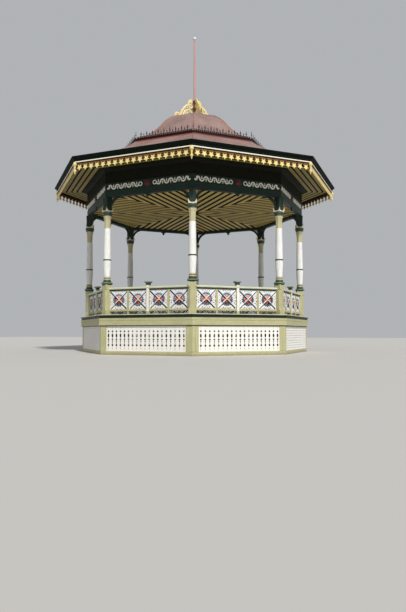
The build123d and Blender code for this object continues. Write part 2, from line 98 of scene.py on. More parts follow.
def joined(pieces):
    """Several solids in one mesh, each block of faces counted on from the points before it."""
    starts = np.cumsum([0] + [len(piece.points) for piece in pieces])
    faces = [block + start for piece, start in zip(pieces, starts) for block in piece.faces]
    return Solid(
        np.concatenate([piece.points for piece in pieces]),
        faces,
        np.concatenate([piece.grain for piece in pieces]),
        np.concatenate([piece.tone for piece in pieces]),
    )


def moved(piece, x=0.0, y=0.0, z=0.0):
    """The piece shifted by a distance along each axis."""
    return piece._replace(points=piece.points + (x, y, z))


def turned(piece, angle):
    """The piece turned about the z axis: (x cos a - y sin a, x sin a + y cos a, z)."""
    turn = np.array([[cos(angle), -sin(angle), 0], [sin(angle), cos(angle), 0], [0, 0, 1]])
    return piece._replace(
        points=piece.points @ turn.T,
        grain=piece.grain + dice.uniform(0, grain_reach, 3),
        tone=piece.tone + dice.uniform(-tone_step, tone_step),
    )


def turned_to(piece, angles):
    """A copy of the piece at each of the angles about the z axis, with its own grain and tone."""
    return joined([turned(piece, angle) for angle in angles])


def reflected(piece):
    """The piece mirrored in the plane y = 0, with its faces turned over so that they point out."""
    return piece._replace(
        points=piece.points * (1, -1, 1), faces=[block[:, ::-1] for block in piece.faces]
    )


def mitred_board(section, gap=mitre_gap):
    """One board of the octagon, on +X, with a section of (out, up) points.

    Each end follows the mitre, at y = out * tan(half_angle) less half the gap.
    """
    out, up = np.asarray(section, float).T
    end = out * tan(half_angle) - gap / 2
    return lofted([np.stack([out, side * end, up], -1) for side in (-1, 1)])


def mitred_ring(section):
    """The same board on each of the eight faces."""
    return turned_to(mitred_board(section), face_turns)


def make_piece(name, piece, paint, node=None, ease=0.0, smooth=0.0):
    """Put a solid into a mesh object that rides on the body, with its paint.

    Where smooth is an angle in degrees, only edges sharper than it stay sharp. An ease in metres
    bevels the sharp edges.
    """
    mesh = bpy.data.meshes.new(name)
    faces = [face for block in piece.faces for face in block.tolist()]
    mesh.from_pydata(piece.points.tolist(), [], faces)
    grain = mesh.attributes.new("grain", "FLOAT_VECTOR", "POINT")
    grain.data.foreach_set("vector", piece.grain.astype(np.float32).ravel())
    tone = mesh.attributes.new("tone", "FLOAT", "POINT")
    tone.data.foreach_set("value", piece.tone.astype(np.float32))
    if smooth:
        mesh.shade_smooth()
        mesh.set_sharp_from_angle(angle=radians(smooth))
    mesh.materials.append(paint)
    made = bpy.data.objects.new(name, mesh)
    bpy.context.scene.collection.objects.link(made)
    if ease:
        bevel = made.modifiers.new("eased edges", "BEVEL")
        bevel.width = ease
        bevel.segments = 1
        bevel.limit_method = "ANGLE"
        bevel.angle_limit = radians(38)
    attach(made, "root")
    if node:
        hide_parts(node)


def add_node(tree, kind, inputs=(), **settings):
    """A shader node with its settings, and inputs that are set by name or fed by other sockets."""
    made = tree.nodes.new(kind)
    for key, value in settings.items():
        setattr(made, key, value)
    for key, value in dict(inputs).items():
        if isinstance(value, bpy.types.NodeSocket):
            tree.links.new(value, made.inputs[key])
        else:
            made.inputs[key].default_value = value
    return made


def linear(colour):
    """A colour of 0 to 255 levels as the linear values that a shader takes, ((c + 0.055) / 1.055)^2.4."""
    level = np.asarray(colour, float) / 255
    return (*np.where(level > 0.04045, ((level + 0.055) / 1.055) ** 2.4, level / 12.92), 1.0)


def noise(tree, place, scale, detail=4.0, roughness=0.55):
    """Value of a cloud noise at a place, between about 0.2 and 0.8."""
    return add_node(tree, "ShaderNodeTexNoise", {
        "Vector": place, "Scale": scale, "Detail": detail, "Roughness": roughness,
    }).outputs["Fac"]


def ramped(tree, value, low, high):
    """The value stretched so that low gives 0 and high gives 1, smoothly."""
    return add_node(tree, "ShaderNodeMapRange", {
        "Value": value, "From Min": low, "From Max": high,
    }, interpolation_type="SMOOTHSTEP").outputs["Result"]


def mixed(tree, share, first, second):
    """The second colour over the first by a share of 0 to 1.

    A colour mix takes its factor and colours at sockets 0, 6 and 7, and gives its colour at 2.
    """
    return add_node(tree, "ShaderNodeMix", {0: share, 6: first, 7: second}, data_type="RGBA").outputs[2]


def painted_timber(name, colour, worn, roughness=0.5, bump=0.35, wear=1.0, splashed=0.0,
                   shade_behind=None, specular=0.5):
    """Brushed paint on planed softwood.

    The grain is a noise stretched sixteen times along each timber, the brush lines a finer one. The
    paint's tone differs by timber, weather lightens or darkens it in clouds by a share of wear, and
    where splashed is over 0 the soil that rain throws up stains it below that height. A colour given
    for the back is painted shade: it darkens the cut edges and backs, where place . normal is less
    than 2.4, so that openings look dark inside.
    """
    paint = bpy.data.materials.new(name)
    paint.use_nodes = True
    tree = paint.node_tree
    surface = tree.nodes["Principled BSDF"]
    surface.inputs["Specular IOR Level"].default_value = specular
    along = add_node(tree, "ShaderNodeAttribute", attribute_name="grain").outputs["Vector"]
    tone = add_node(tree, "ShaderNodeAttribute", attribute_name="tone").outputs["Fac"]
    place = add_node(tree, "ShaderNodeTexCoord").outputs["Object"]
    stretched = add_node(tree, "ShaderNodeMapping", {"Vector": along, "Scale": (1, 16, 16)}).outputs[0]
    fibre = noise(tree, stretched, 3.0, 6.0)
    brushed = noise(tree, stretched, 19.0, 2.0)
    clouds = noise(tree, place, 1.7, 5.0)
    patches = noise(tree, place, 7.0, 6.0, 0.7)
    darker = linear(np.asarray(colour) * (1 - 0.12 * wear))
    base = mixed(tree, ramped(tree, fibre, 0.35, 0.65), darker, linear(colour))
    for share, cover in (
        (0.22, ramped(tree, tone, 0.9, 0.1)),
        (0.35, ramped(tree, clouds, 0.42, 0.72)),
        (0.22, ramped(tree, patches, 0.52, 0.68)),
    ):
        base = mixed(tree, cover, base, mixed(tree, share * wear, base, linear(worn)))
    if splashed:
        height = add_node(tree, "ShaderNodeSeparateXYZ", {"Vector": place}).outputs["Z"]
        ragged = add_node(tree, "ShaderNodeMath", {0: height, 1: noise(tree, place, 9.0, 5.0, 0.7)},
                          operation="DIVIDE").outputs[0]
        soil = ramped(tree, ragged, splashed * 2.0, 0.0)
        base = mixed(tree, soil, base, mixed(tree, 0.5, base, linear((104, 88, 62))))
    if shade_behind:
        outward = add_node(tree, "ShaderNodeVectorMath", {
            0: place, 1: add_node(tree, "ShaderNodeNewGeometry").outputs["Normal"],
        }, operation="DOT_PRODUCT").outputs["Value"]
        base = mixed(tree, ramped(tree, outward, 2.6, 2.2), base, linear(shade_behind))
    tree.links.new(base, surface.inputs["Base Color"])
    shine = add_node(tree, "ShaderNodeMapRange", {
        "Value": clouds, "To Min": roughness - 0.12, "To Max": roughness + 0.16,
    }).outputs["Result"]
    tree.links.new(shine, surface.inputs["Roughness"])
    relief = add_node(tree, "ShaderNodeMath", {0: fibre, 1: brushed}, operation="ADD").outputs[0]
    ridges = add_node(tree, "ShaderNodeBump", {"Height": relief, "Strength": bump, "Distance": 0.0015})
    tree.links.new(ridges.outputs["Normal"], surface.inputs["Normal"])
    return paint


sage = painted_timber("sage_paint", (187, 184, 138), (206, 201, 160), wear=0.8, splashed=0.12)

sill_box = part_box("sill")
sill_face = sill_box[1].x
sill_top = sill_box[1].z
sill_depth = 0.09
sill_ease = 0.014
sill = mitred_ring([
    (sill_face - sill_depth, 0),
    (sill_face, 0),
    (sill_face, sill_top - sill_ease),
    (sill_face - sill_ease, sill_top),
    (sill_face - sill_depth, sill_top),
])
make_piece("sill_timbers", sill, sage, "sill", ease=0.003)


# Pierced skirts: upright boards nailed side by side under the floor, painted cream. The sawyer
# cuts half of each opening in a board's edge, so that two neighbours make rounds and slots.
pierced_faces = (2, 3, 6, 7)
skirt_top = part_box("pierced_skirt_4")[1].z
skirt_face = post_line + 0.220
skirt_board = 0.022
wide_corner = 0.225
narrow_corner = 0.080
slot_columns = 19
slot_pitch = 0.163
board_gap = 0.001
# Painted shade: a dark brown laid on the skirt boards' cut edges and backs, so that the openings look as
# dark as the shade under the floor
shade_under_floor = (62, 54, 44)

# Each opening down a joint: the height of its middle, half its height and half its width
openings = (
    (0.234, 0.015, 0.013),
    (0.345, 0.037, 0.032),
    (0.425, 0.038, 0.008),
    (0.484, 0.020, 0.025),
    (0.549, 0.028, 0.032),
    (0.680, 0.064, 0.032),
    (0.828, 0.028, 0.032),
)


def face_width(distance):
    """Length of a side of the octagon whose middle is that far out."""
    return 2 * distance * tan(half_angle)


def inset(loop, by):
    """A loop moved to its left by a distance, each corner along the sum of its edges' normals."""
    ahead = np.roll(loop, -1, 0) - loop
    ahead /= np.linalg.norm(ahead, axis=1, keepdims=True)
    left = np.stack([-ahead[:, 1], ahead[:, 0]], -1)
    before = np.roll(left, 1, 0)
    spread = np.maximum(1 + np.sum(left * before, 1, keepdims=True), 0.5)
    return loop + by * (left + before) / spread


def fretted(outline, holes=(), depth=0.02, ease=0.0015, along=1):
    """A piece sawn from a board: (across, up) loops, from x = 0 at its back to x = depth in front.

    The front edge of each loop is eased: its last step forwards also goes into the wood. The faces
    at front and back are one triangulation of the loops, seen from its two sides.
    """
    loops = []
    for loop, way in ((outline, 1), *((hole, -1) for hole in holes)):
        loop = np.asarray(loop, float)
        after = np.roll(loop, -1, 0)
        area = np.sum(loop[:, 0] * after[:, 1] - loop[:, 1] * after[:, 0])
        loops.append(loop if area * way > 0 else loop[::-1])
    front = [inset(loop, ease) for loop in loops]
    levels = [
        np.column_stack([np.full(sum(map(len, loops)), out), np.concatenate(at)])
        for out, at in ((0, loops), (depth - ease, loops), (depth, front))
    ]
    count = len(levels[0])
    quads = []
    start = 0
    for loop in loops:
        near = start + np.arange(len(loop))
        for level in (0, count):
            far = np.roll(near, -1) + level
            quads.append(np.stack([near + level, far, far + count, near + level + count], -1))
        start += len(loop)
    corners = np.array(tessellate_polygon([[Vector((*point, 0)) for point in loop] for loop in loops]))
    flat = np.concatenate(loops)[corners]
    edge, other = flat[:, 1] - flat[:, 0], flat[:, 2] - flat[:, 0]
    crossed = edge[:, 0] * other[:, 1] - edge[:, 1] * other[:, 0]
    corners[crossed < 0] = corners[crossed < 0][:, ::-1]
    corners = corners[abs(crossed) > 1e-12]
    return solid(np.concatenate(levels), [*quads, corners[:, ::-1], corners + 2 * count], along)


def cut_edge(foot, head):
    """One cut edge of a skirt board, upwards: how far each point lies into the board, and its height.

    Each opening is half a fat ellipse, half_width cos(t)^0.6 deep at middle + half_height sin(t),
    with t from just over minus a quarter turn to just under a quarter turn.
    """
    middle, half_height, half_width = np.transpose(openings)[:, :, None]
    t = np.linspace(-1.57, 1.57, 8)
    into = half_width * np.cos(t) ** 0.6
    level = middle + half_height * np.sin(t)
    return np.concatenate([[(0, foot)], np.stack([into, level], -1).reshape(-1, 2), [(0, head)]])


# The cream paint darkens the boards' cut edges and backs with that painted shade
cream = painted_timber("cream_paint", (250, 248, 242), (234, 228, 214), wear=0.45, splashed=0.07,
                       shade_behind=shade_under_floor)
skirt_half = face_width(skirt_face) / 2 - wide_corner
cut = cut_edge(sill_top, skirt_top)
straight = np.array([(0, sill_top), (0, skirt_top)])
joints = (np.arange(slot_columns) - (slot_columns - 1) / 2) * slot_pitch
skirt_boards = []
for left, right in zip([-skirt_half, *joints], [*joints, skirt_half]):
    left_edge = straight if left == -skirt_half else cut
    right_edge = straight if right == skirt_half else cut
    outline = np.concatenate([
        right_edge * (-1, 1) + (right - board_gap / 2, 0),
        (left_edge + (left + board_gap / 2, 0))[::-1],
    ])
    skirt_boards.append(moved(fretted(outline, depth=skirt_board, along=2), x=skirt_face - skirt_board))
pierced = joined(skirt_boards)
for index in pierced_faces:
    boards = turned(pierced, face_turns[index])
    make_piece(f"pierced_boards_{index + 1}", boards, cream, f"pierced_skirt_{index + 1}")


# Clapboard skirts: the other four faces are closed by ten courses of lapped weatherboard, each
# thick at its lower edge and thin at the upper one, which the next course covers.
course_count = 10
course_lap = 0.016
course_foot_back = 0.008
course_foot_front = 0.016
course_head_back = 0.016
course_head_front = -0.004
course_height = (skirt_top - sill_top) / course_count
clapboard_half = face_width(skirt_face) / 2 - narrow_corner
courses = []
for course in range(course_count):
    foot = sill_top + course * course_height
    head = min(foot + course_height + course_lap, skirt_top)
    section = np.array([
        (skirt_face - course_foot_back, foot),
        (skirt_face + course_foot_front, foot),
        (skirt_face + course_head_front, head),
        (skirt_face - course_head_back, head),
    ])
    courses.append(lofted([np.insert(section, 1, side * clapboard_half, axis=1) for side in (-1, 1)]))
clapboards = joined(courses)
for index in sorted(set(range(sides)) - set(pierced_faces)):
    boards = turned(clapboards, face_turns[index])
    make_piece(f"clapboards_{index + 1}", boards, cream, f"clapboard_skirt_{index + 1}",
               ease=0.0015)


# Corner boards: upright boards over the ends of the skirts, mitred at each corner. On the pierced
# faces they are wide and made of two, with a groove between, and on the others a single narrow one.
corner_face = skirt_face + 0.022
corner_back = corner_face - 0.052
corner_groove = 0.004
skirt_clearance = 0.0003


def upright(plan, foot, head, along=2):
    """An upright timber: a plan of (x, y) points carried straight up from foot to head."""
    plan = np.asarray(plan, float)
    return lofted([np.insert(plan, 2, level, axis=1) for level in (foot, head)], along=along)


mitred_end = np.array([face_width(corner_back), face_width(corner_face)]) / 2 - mitre_gap / 2
corner_pieces = []
for faces, width, board_count in (
    (face_turns[list(pierced_faces)], wide_corner, 2),
    (np.delete(face_turns, pierced_faces), narrow_corner, 1),
):
    inner = face_width(skirt_face) / 2 - width + skirt_clearance
    outer = face_width(corner_face) / 2
    seams = np.linspace(inner, outer, board_count + 1)
    for board in range(board_count):
        start = seams[board] + (corner_groove / 2 if board else 0)
        square_end = np.full(2, seams[board + 1] - corner_groove / 2)
        back_end, front_end = mitred_end if board == board_count - 1 else square_end
        piece = upright([
            (corner_back, start),
            (corner_face, start),
            (corner_face, front_end),
            (corner_back, back_end),
        ], sill_top, skirt_top)
        corner_pieces.append(turned_to(joined([piece, reflected(piece)]), faces))
make_piece("corner_board_pairs", joined(corner_pieces), sage, "corner_boards", ease=0.0025)


# Rim: the deep board round the floor's edge, with a bead along its foot and a groove below its
# head, which throws the skirts' upper edge into shade.
rim_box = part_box("rim_board")
rim_face, rim_top = rim_box[1].x, rim_box[1].z
rim_foot = rim_box[0].z
rim_depth = 0.140
rim_groove = 0.006
rim_joint = rim_foot + 0.165
rim = mitred_ring([
    (rim_face - rim_depth, rim_foot),
    (rim_face - 0.016, rim_foot),
    (rim_face - 0.004, rim_foot + 0.005),
    (rim_face, rim_foot + 0.014),
    (rim_face - 0.003, rim_foot + 0.026),
    (rim_face - 0.009, rim_foot + 0.032),
    (rim_face - 0.006, rim_foot + 0.038),
    (rim_face - 0.006, rim_joint - rim_groove),
    (rim_face - 0.014, rim_joint),
    (rim_face, rim_joint + rim_groove),
    (rim_face, rim_top),
    (rim_face - rim_depth, rim_top),
])
make_piece("rim_fascia", rim, sage, "rim_board", ease=0.002)


# Deck moulding: a dark green cove under the nosing of the floor, run in eight mitred lengths.
# Its profile is a fillet, a quarter hollow and a fillet. A slim dark fillet under the rim's foot is
# painted shadow, the dark line that the rim casts on the skirts' upper edge.
dark_green = painted_timber("dark_green_paint", (21, 44, 34), (40, 62, 50), roughness=0.5, specular=0.3)
moulding_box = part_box("deck_moulding")
moulding_face = moulding_box[1].x
moulding_foot, moulding_top = moulding_box[0].z, moulding_box[1].z


def hollow(start, end, steps=6):
    """Points of a quarter ellipse that leaves start upwards and reaches end outwards.

    Across and up, they lie at shares 1 - cos t and sin t of the way from start to end.
    """
    t = np.linspace(0, pi / 2, steps + 1)
    share = np.stack([1 - np.cos(t), np.sin(t)], -1)
    return np.asarray(start) + share * (np.asarray(end) - np.asarray(start))


moulding = mitred_ring([
    (rim_face - rim_depth, moulding_foot),
    (rim_face - 0.020, moulding_foot),
    (rim_face - 0.020, moulding_foot + 0.022),
    *hollow((rim_face - 0.026, moulding_foot + 0.024), (moulding_face - 0.004, moulding_top - 0.022)),
    (moulding_face, moulding_top - 0.020),
    (moulding_face, moulding_top),
    (rim_face - rim_depth, moulding_top),
])
make_piece("deck_cove", moulding, dark_green, "deck_moulding", smooth=40)
# Painted shadow: a dark green strip where the rim's shadow falls across the skirts and corner boards
painted_shadow_fillet = mitred_ring([
    (skirt_face - 0.010, rim_foot - 0.024),
    (corner_face + 0.008, rim_foot - 0.024),
    (corner_face + 0.012, rim_foot + 0.002),
    (skirt_face - 0.010, rim_foot + 0.002),
])
make_piece("rim_painted_shadow_fillet", painted_shadow_fillet, dark_green, ease=0.002)


# Deck: narrow tongued boards laid side by side across the octagon, grey and worn, inside a
# mitred nosing with a rounded edge that is painted a paler sage.
deck_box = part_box("deck")
deck_face, deck_top = deck_box[1].x, deck_box[1].z
deck_board = 0.029
nosing_width = 0.120
floor_board = 0.095
floor_gap = 0.003
deck_grey = painted_timber("deck_paint", (128, 128, 116), (156, 150, 132), roughness=0.6, bump=0.6)
pale_sage = painted_timber("pale_sage_paint", (206, 206, 176), (222, 220, 196))
nose = deck_board / 2
bend = np.linspace(-pi / 2, pi / 2, 7)
nosing = mitred_ring([
    (deck_face - nosing_width, deck_top - deck_board),
    *np.stack([deck_face - nose + nose * np.cos(bend), deck_top - nose + nose * np.sin(bend)], -1),
    (deck_face - nosing_width, deck_top),
])
make_piece("deck_nosing", nosing, pale_sage, smooth=40)

floor_reach = deck_face - nosing_width - floor_gap
floor_boards = []
for foot in np.arange(-floor_reach, floor_reach - floor_board / 2, floor_board):
    ends = np.array([foot, min(foot + floor_board - floor_gap, floor_reach)])
    reach = np.minimum(floor_reach, floor_reach / cos(2 * half_angle) - abs(ends))
    plan = [(-reach[0], ends[0]), (reach[0], ends[0]), (reach[1], ends[1]), (-reach[1], ends[1])]
    floor_boards.append(upright(plan, deck_top - deck_board, deck_top - 0.001, along=0))
make_piece("floor_boards", joined(floor_boards), deck_grey, "deck", ease=0.0015)


# Newel posts: the square pedestals of the columns. Their corners are planed to wide chamfers that
# end in curved stops below the cap and above the floor. The cap is a moulding under a slab of paler
# green, glued and mitred round the post's head; the moulding is painted dark green as the shade
# under the slab's overhang.
newel_width = 0.272
newel_chamfer = 0.064
newel_top = 2.510
newel_plain = 0.150
stop_length = 0.055
arris = 0.004


def square_rings(width, chamfer, level):
    """At each level eight points round a square of that width, its corners cut back by the chamfer."""
    half = np.full_like(level, width) / 2
    cut = half - chamfer
    across = np.stack([half, cut, -cut, -half, -half, -cut, cut, half], -1)
    return np.stack([across, np.roll(across, 2, 1), np.tile(level[:, None], 8)], -1)


def chamfered_post(width, chamfer, foot, head, plain_length):
    """A square post whose chamfers run out in stops, (1 - cos pi t) / 2 of their depth over the stop.

    Its corners are square but for a fine arris for the plain length at its foot and at its head.
    """
    t = np.linspace(0, 1, 5)
    rising = foot + plain_length + stop_length * t
    falling = head - plain_length - stop_length * t[::-1]
    swell = (1 - np.cos(pi * t)) / 2
    cut = arris + (chamfer - arris) * np.concatenate([[0], swell, swell[::-1], [0]])
    return lofted(square_rings(width, cut, np.concatenate([[foot], rising, falling, [head]])), along=2)


def at_corners(piece):
    """A piece made round the z axis, put on each of the eight corners."""
    return turned_to(moved(piece, x=post_circle), corner_turns)


newels = at_corners(chamfered_post(newel_width, newel_chamfer, deck_top, newel_top, newel_plain))
make_piece("newel_timbers", newels, sage, "newel_posts")

cap_green = painted_timber("cap_green_paint", (98, 122, 98), (142, 160, 134), roughness=0.4)

# Each profile is the cap's width and the level, upwards
# Painted shade: the moulding under each slab takes the dark green of the shade beneath the overhang
cap_mould = (
    (0.280, 2.500), (0.296, 2.500), (0.300, 2.510), (0.306, 2.520), (0.322, 2.530), (0.344, 2.537),
    (0.346, 2.541),
)
cap_slab = (
    (0.346, 2.5412), (0.353, 2.547), (0.355, 2.556), (0.355, 2.574), (0.348, 2.584), (0.318, 2.594),
    (0.290, 2.600),
)
for name, profile, paint in (
    ("newel_cap_mouldings", cap_mould, dark_green),
    ("newel_caps", cap_slab, cap_green),
):
    width, level = np.transpose(profile)
    cap = lofted(square_rings(width, 0.066 + 0.13 * (width - 0.28), level), along=0)
    make_piece(name, at_corners(cap), paint, smooth=28)


# Columns: softwood shafts turned on a lathe and painted white, with green rings at the foot, at
# the drum's top and under the upper post, and a planed eight-sided neck that flares like a bell.
white = painted_timber("white_paint", (255, 255, 253), (240, 237, 229), roughness=0.4)
neck_cream = painted_timber("neck_paint", (201, 194, 150), (220, 213, 174))
ring_green = painted_timber("ring_green_paint", (44, 62, 50), (92, 114, 90), roughness=0.38)
column_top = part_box("column_1")[1].z
turning_steps = 40


def turning(profile, steps=turning_steps, start=0.0):
    """A piece turned on a lathe: (radius, height) points swept round z, (r cos a, r sin a, z)."""
    around = start + 2 * pi * np.arange(steps) / steps
    radius, level = np.asarray(profile, float).T
    rings = np.stack([np.outer(radius, np.cos(around)), np.outer(radius, np.sin(around)),
                      np.tile(level[:, None], steps)], -1)
    return lofted(rings, along=2)


def bead(radius, foot, head, bulge):
    """A rounded ring's profile from foot to head: radius + bulge sin t, at middle - half cos t."""
    t = np.linspace(0, pi, 9)
    return np.stack([radius + bulge * np.sin(t), (foot + head) / 2 - (head - foot) / 2 * np.cos(t)], -1)


drum_foot, drum_top = 2.792, 3.392
shaft_foot, shaft_top = 3.418, 4.548
neck_top, capital_foot = 5.003, 5.058
rise = np.linspace(0, 1, 9)
drum = np.stack([0.110 + 0.030 * np.sin(rise * pi / 2), drum_foot + rise * (drum_top - drum_foot)], -1)
shaft = np.stack([0.131 - 0.016 * rise**1.4, shaft_foot + rise * (shaft_top - shaft_foot)], -1)
white_turning = joined([turning(drum), turning(shaft)])
ring_turning = joined([
    turning([(0.120, 2.596), *bead(0.124, 2.600, 2.668, 0.017), (0.116, 2.670)]),
    turning([(0.100, 2.724), *bead(0.112, 2.726, 2.742, 0.010), (0.100, 2.744)]),
    turning([
        (0.120, neck_top + 0.004), (0.150, neck_top + 0.006), *bead(0.152, neck_top + 0.010, 5.048, 0.010),
        (0.150, capital_foot), (0.166, 5.064), (0.178, 5.082), (0.181, 5.104), (0.181, 5.128),
        (0.174, 5.146), (0.150, 5.157), (0.120, column_top),
    ]),
])
drum_ring = turning([(0.120, 3.376), *bead(0.138, 3.377, 3.424, 0.009), (0.120, 3.425)])
foot_rings = [
    turning([(0.110, 2.670), *bead(0.118, 2.672, 2.724, 0.014), (0.108, 2.725)]),
    turning([(0.104, 2.742), *bead(0.106, 2.744, 2.790, 0.014), (0.100, 2.793)]),
]

# The eight-sided neck: how far out each face stands, and the level
neck_profile = (
    (0.104, 4.540), (0.104, 4.700), (0.108, 4.800), (0.114, 4.880), (0.120, 4.914), (0.128, 4.918),
    (0.130, 4.940), (0.134, 4.985), (0.136, neck_top), (0.120, neck_top + 0.006),
)
neck = turning(np.array(neck_profile) / (cos(half_angle), 1), sides, half_angle)
neck_turning = joined([*foot_rings, neck])
for index, angle in enumerate(corner_turns):
    column = f"column_{index + 1}"
    for part, shape, paint, slot, node in (
        ("shaft", white_turning, white, "white_paint", column),
        ("rings", ring_turning, ring_green, "dark_green_paint", None),
        ("drum_ring", drum_ring, dark_green, "dark_green_paint", None),
        ("neck", neck_turning, neck_cream, "sage_paint", None),
    ):
        place = turned(moved(shape, x=post_circle), angle)
        make_piece(f"{column}_{part}", place, paint, node, smooth=32)


# Upper posts: dark green square timbers from the capitals to the beams, with stopped chamfers.
# A cream collar stands round each foot, tall at the corners and low between them: its upper edge
# follows the jagged shadow that the valance's stars cast, so the dark post in the dips is painted
# shadow.
upper_width = 0.250
upper_chamfer = 0.026
upper_foot = column_top
beam_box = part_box("frieze_beams")
beam_foot = 5.677
posts = at_corners(chamfered_post(upper_width, upper_chamfer, upper_foot, beam_foot, 0.09))
make_piece("upper_timbers", posts, dark_green, "upper_posts")

# The collar's height: low between the corners and high at them, with a ripple, along the line of the stars'
# painted shadow
collar_dip, collar_peak, collar_ripple = 0.030, 0.142, 0.012
leaf_wall = 0.012
leaf_lean = 0.014


def shadow_edged_collar(steps=14):
    """A sheet bent square round a post, its upper edge cut to points that lean outwards, along the
    line of the stars' painted shadow.

    With s from -1 to 1 along a side, it is low + (high - low) s^4 + wave cos(3 pi s)^2 tall, and its
    head leans out by the lean times s^4.
    """
    share = np.tile(np.linspace(-1, 1, steps + 1)[:-1], 4)[:, None]
    turn = np.repeat(np.arange(4) * pi / 2, steps)[:, None]
    lean = leaf_lean * share**4
    tall = collar_dip + (collar_peak - collar_dip) * share**4 + collar_ripple * np.cos(3 * pi * share) ** 2
    inner = upper_width / 2 + 0.001
    out = inner + leaf_wall * np.array([0, 1, 1, 0]) + lean * (0, 0, 1, 1)
    level = upper_foot + tall * (0, 0, 1, 1)
    side = share * out
    return lofted(np.stack([
        out * np.cos(turn) - side * np.sin(turn),
        out * np.sin(turn) + side * np.cos(turn),
        level,
    ], -1), ends=False)


leaves = at_corners(shadow_edged_collar())
leaf_white = painted_timber("leaf_paint", (244, 236, 204), (224, 212, 172))
make_piece("shadow_edged_collars", leaves, leaf_white, smooth=30)


# Railing frames: each bay has a rounded handrail over an under-rail, a bottom rail, a capped post in
# its middle and a slim upright in each half, painted sage and mortised together. The handrail is
# painted paler than the sage, the light on its top, and the under-rail dark green, the shadow under
# the handrail. The middle post has a white fillet between its stopped chamfers.
bay_reach = face_width(post_line) / 2
newel_side = bay_reach - newel_width / 2 / cos(half_angle)
rail_tenon = 0.030
under_rail_half = 0.032
panel_foot, panel_top = 1.611, 2.270
bottom_rail_foot = 1.537
top_rail_foot, top_rail_top = 2.320, 2.395
middle_width, middle_top = 0.118, 2.489
middle_chamfer, middle_plain = 0.014, 0.060
mullion_width, mullion_depth = 0.074, 0.060
panel_width = (newel_side - middle_width / 2 - mullion_width) / 2
panel_places = [side * (middle_width / 2 + panel_width * (step + 0.5) + mullion_width * step)
                for side in (-1, 1) for step in (0, 1)]
mullion_places = [side * (middle_width / 2 + panel_width + mullion_width / 2) for side in (-1, 1)]


def rail(section, reach):
    """A straight rail along a face, from -reach to reach, with a section of (out, up) points."""
    section = np.asarray(section, float) + (post_line, 0)
    return lofted([np.insert(section, 1, side * reach, axis=1) for side in (-1, 1)])


def square_timber(out, side, half_depth, half_width, foot, head):
    """An upright timber of square section whose middle is that far out and to the side."""
    around = np.array([(-1, -1), (1, -1), (1, 1), (-1, 1)])
    return upright(around * (half_depth, half_width) + (out, side), foot, head)


rail_half, rail_round = 0.075, 0.024
round_over = np.linspace(0, pi / 2, 4)
rounded = np.stack([
    rail_half - rail_round + rail_round * np.cos(round_over),
    top_rail_top - rail_round + rail_round * np.sin(round_over),
], -1)
rail_reach = newel_side + rail_tenon
handrail = rail([
    (-0.050, top_rail_foot),
    (0.050, top_rail_foot),
    (rail_half - 0.006, top_rail_foot + 0.014),
    (rail_half, top_rail_foot + 0.020),
    *rounded,
    *(rounded * (-1, 1))[::-1],
    (-rail_half, top_rail_foot + 0.020),
    (-rail_half + 0.006, top_rail_foot + 0.014),
], rail_reach)
under_rail = rail([
    (-under_rail_half, panel_top),
    (under_rail_half, panel_top),
    (under_rail_half, top_rail_foot),
    (-under_rail_half, top_rail_foot),
], rail_reach)
bottom_rail = rail([
    (-0.038, bottom_rail_foot),
    (0.038, bottom_rail_foot),
    (0.038, panel_foot - 0.016),
    (0.020, panel_foot),
    (-0.020, panel_foot),
    (-0.038, panel_foot - 0.016),
], rail_reach)
middle_post = chamfered_post(middle_width, middle_chamfer, deck_top, middle_top, middle_plain)
middle_post = moved(middle_post, x=post_line)
fillet_foot, fillet_head = deck_top + 0.10, middle_top - middle_plain
fillet_depth, fillet_width = middle_width / 2 + 0.004, middle_width / 2 - middle_chamfer
fillet = moved(square_timber(0, 0, fillet_depth, fillet_width, fillet_foot, fillet_head), x=post_line)
mullions = [
    square_timber(post_line, place, mullion_depth / 2, mullion_width / 2, deck_top, top_rail_foot)
    for place in mullion_places
]
bay_frame = joined([bottom_rail, middle_post, *mullions])

# Painted shade: the middle post's cap moulding takes a dark green for the shade under its mint slab
middle_cap_mould = (
    (0.120, 2.446), (0.140, 2.450), (0.144, 2.462), (0.128, 2.472), (0.132, 2.492), (0.150, 2.510),
    (0.180, 2.520), (0.198, 2.524), (0.200, 2.531),
)
middle_cap_slab = (
    (0.200, 2.5312), (0.222, 2.533), (0.228, 2.538), (0.228, 2.566), (0.220, 2.575), (0.150, 2.579),
)
cap_mint = painted_timber("cap_mint_paint", (128, 150, 122), (170, 186, 158), roughness=0.4)
# Painted shadow: the under-rail's dark green stands for the shadow under the handrail; the handrail's paler
# sage is painted light on its top
under_rail_shade = painted_timber("under_rail_painted_shade", (34, 46, 36), (58, 72, 54))
handrail_lit_pale = painted_timber("rail_paint", (208, 214, 182), (226, 228, 204), wear=0.7)
middle_caps = []
for profile in (middle_cap_mould, middle_cap_slab):
    width, level = np.transpose(profile)
    middle_cap = lofted(square_rings(width, 0.005 + 0.02 * width, level), along=0)
    middle_caps.append(moved(middle_cap, x=post_line))
for index, turn in enumerate(face_turns):
    bay = f"railing_{index + 1}"
    for part, shape, paint, slot, node, ease, angle in (
        ("frame", bay_frame, sage, "sage_paint", bay, 0.002, 0),
        ("handrail", handrail, handrail_lit_pale, "sage_paint", None, 0, 40),
        ("under_rail", under_rail, under_rail_shade, "dark_green_paint", None, 0.002, 0),
        ("cap_moulding", middle_caps[0], ring_green, "dark_green_paint", None, 0, 28),
        ("cap", middle_caps[1], cap_mint, "dark_green_paint", None, 0, 28),
        ("post_fillet", fillet, white, "white_paint", None, 0.002, 0),
    ):
        make_piece(f"{bay}_{part}", turned(shape, turn), paint, node, ease, angle)


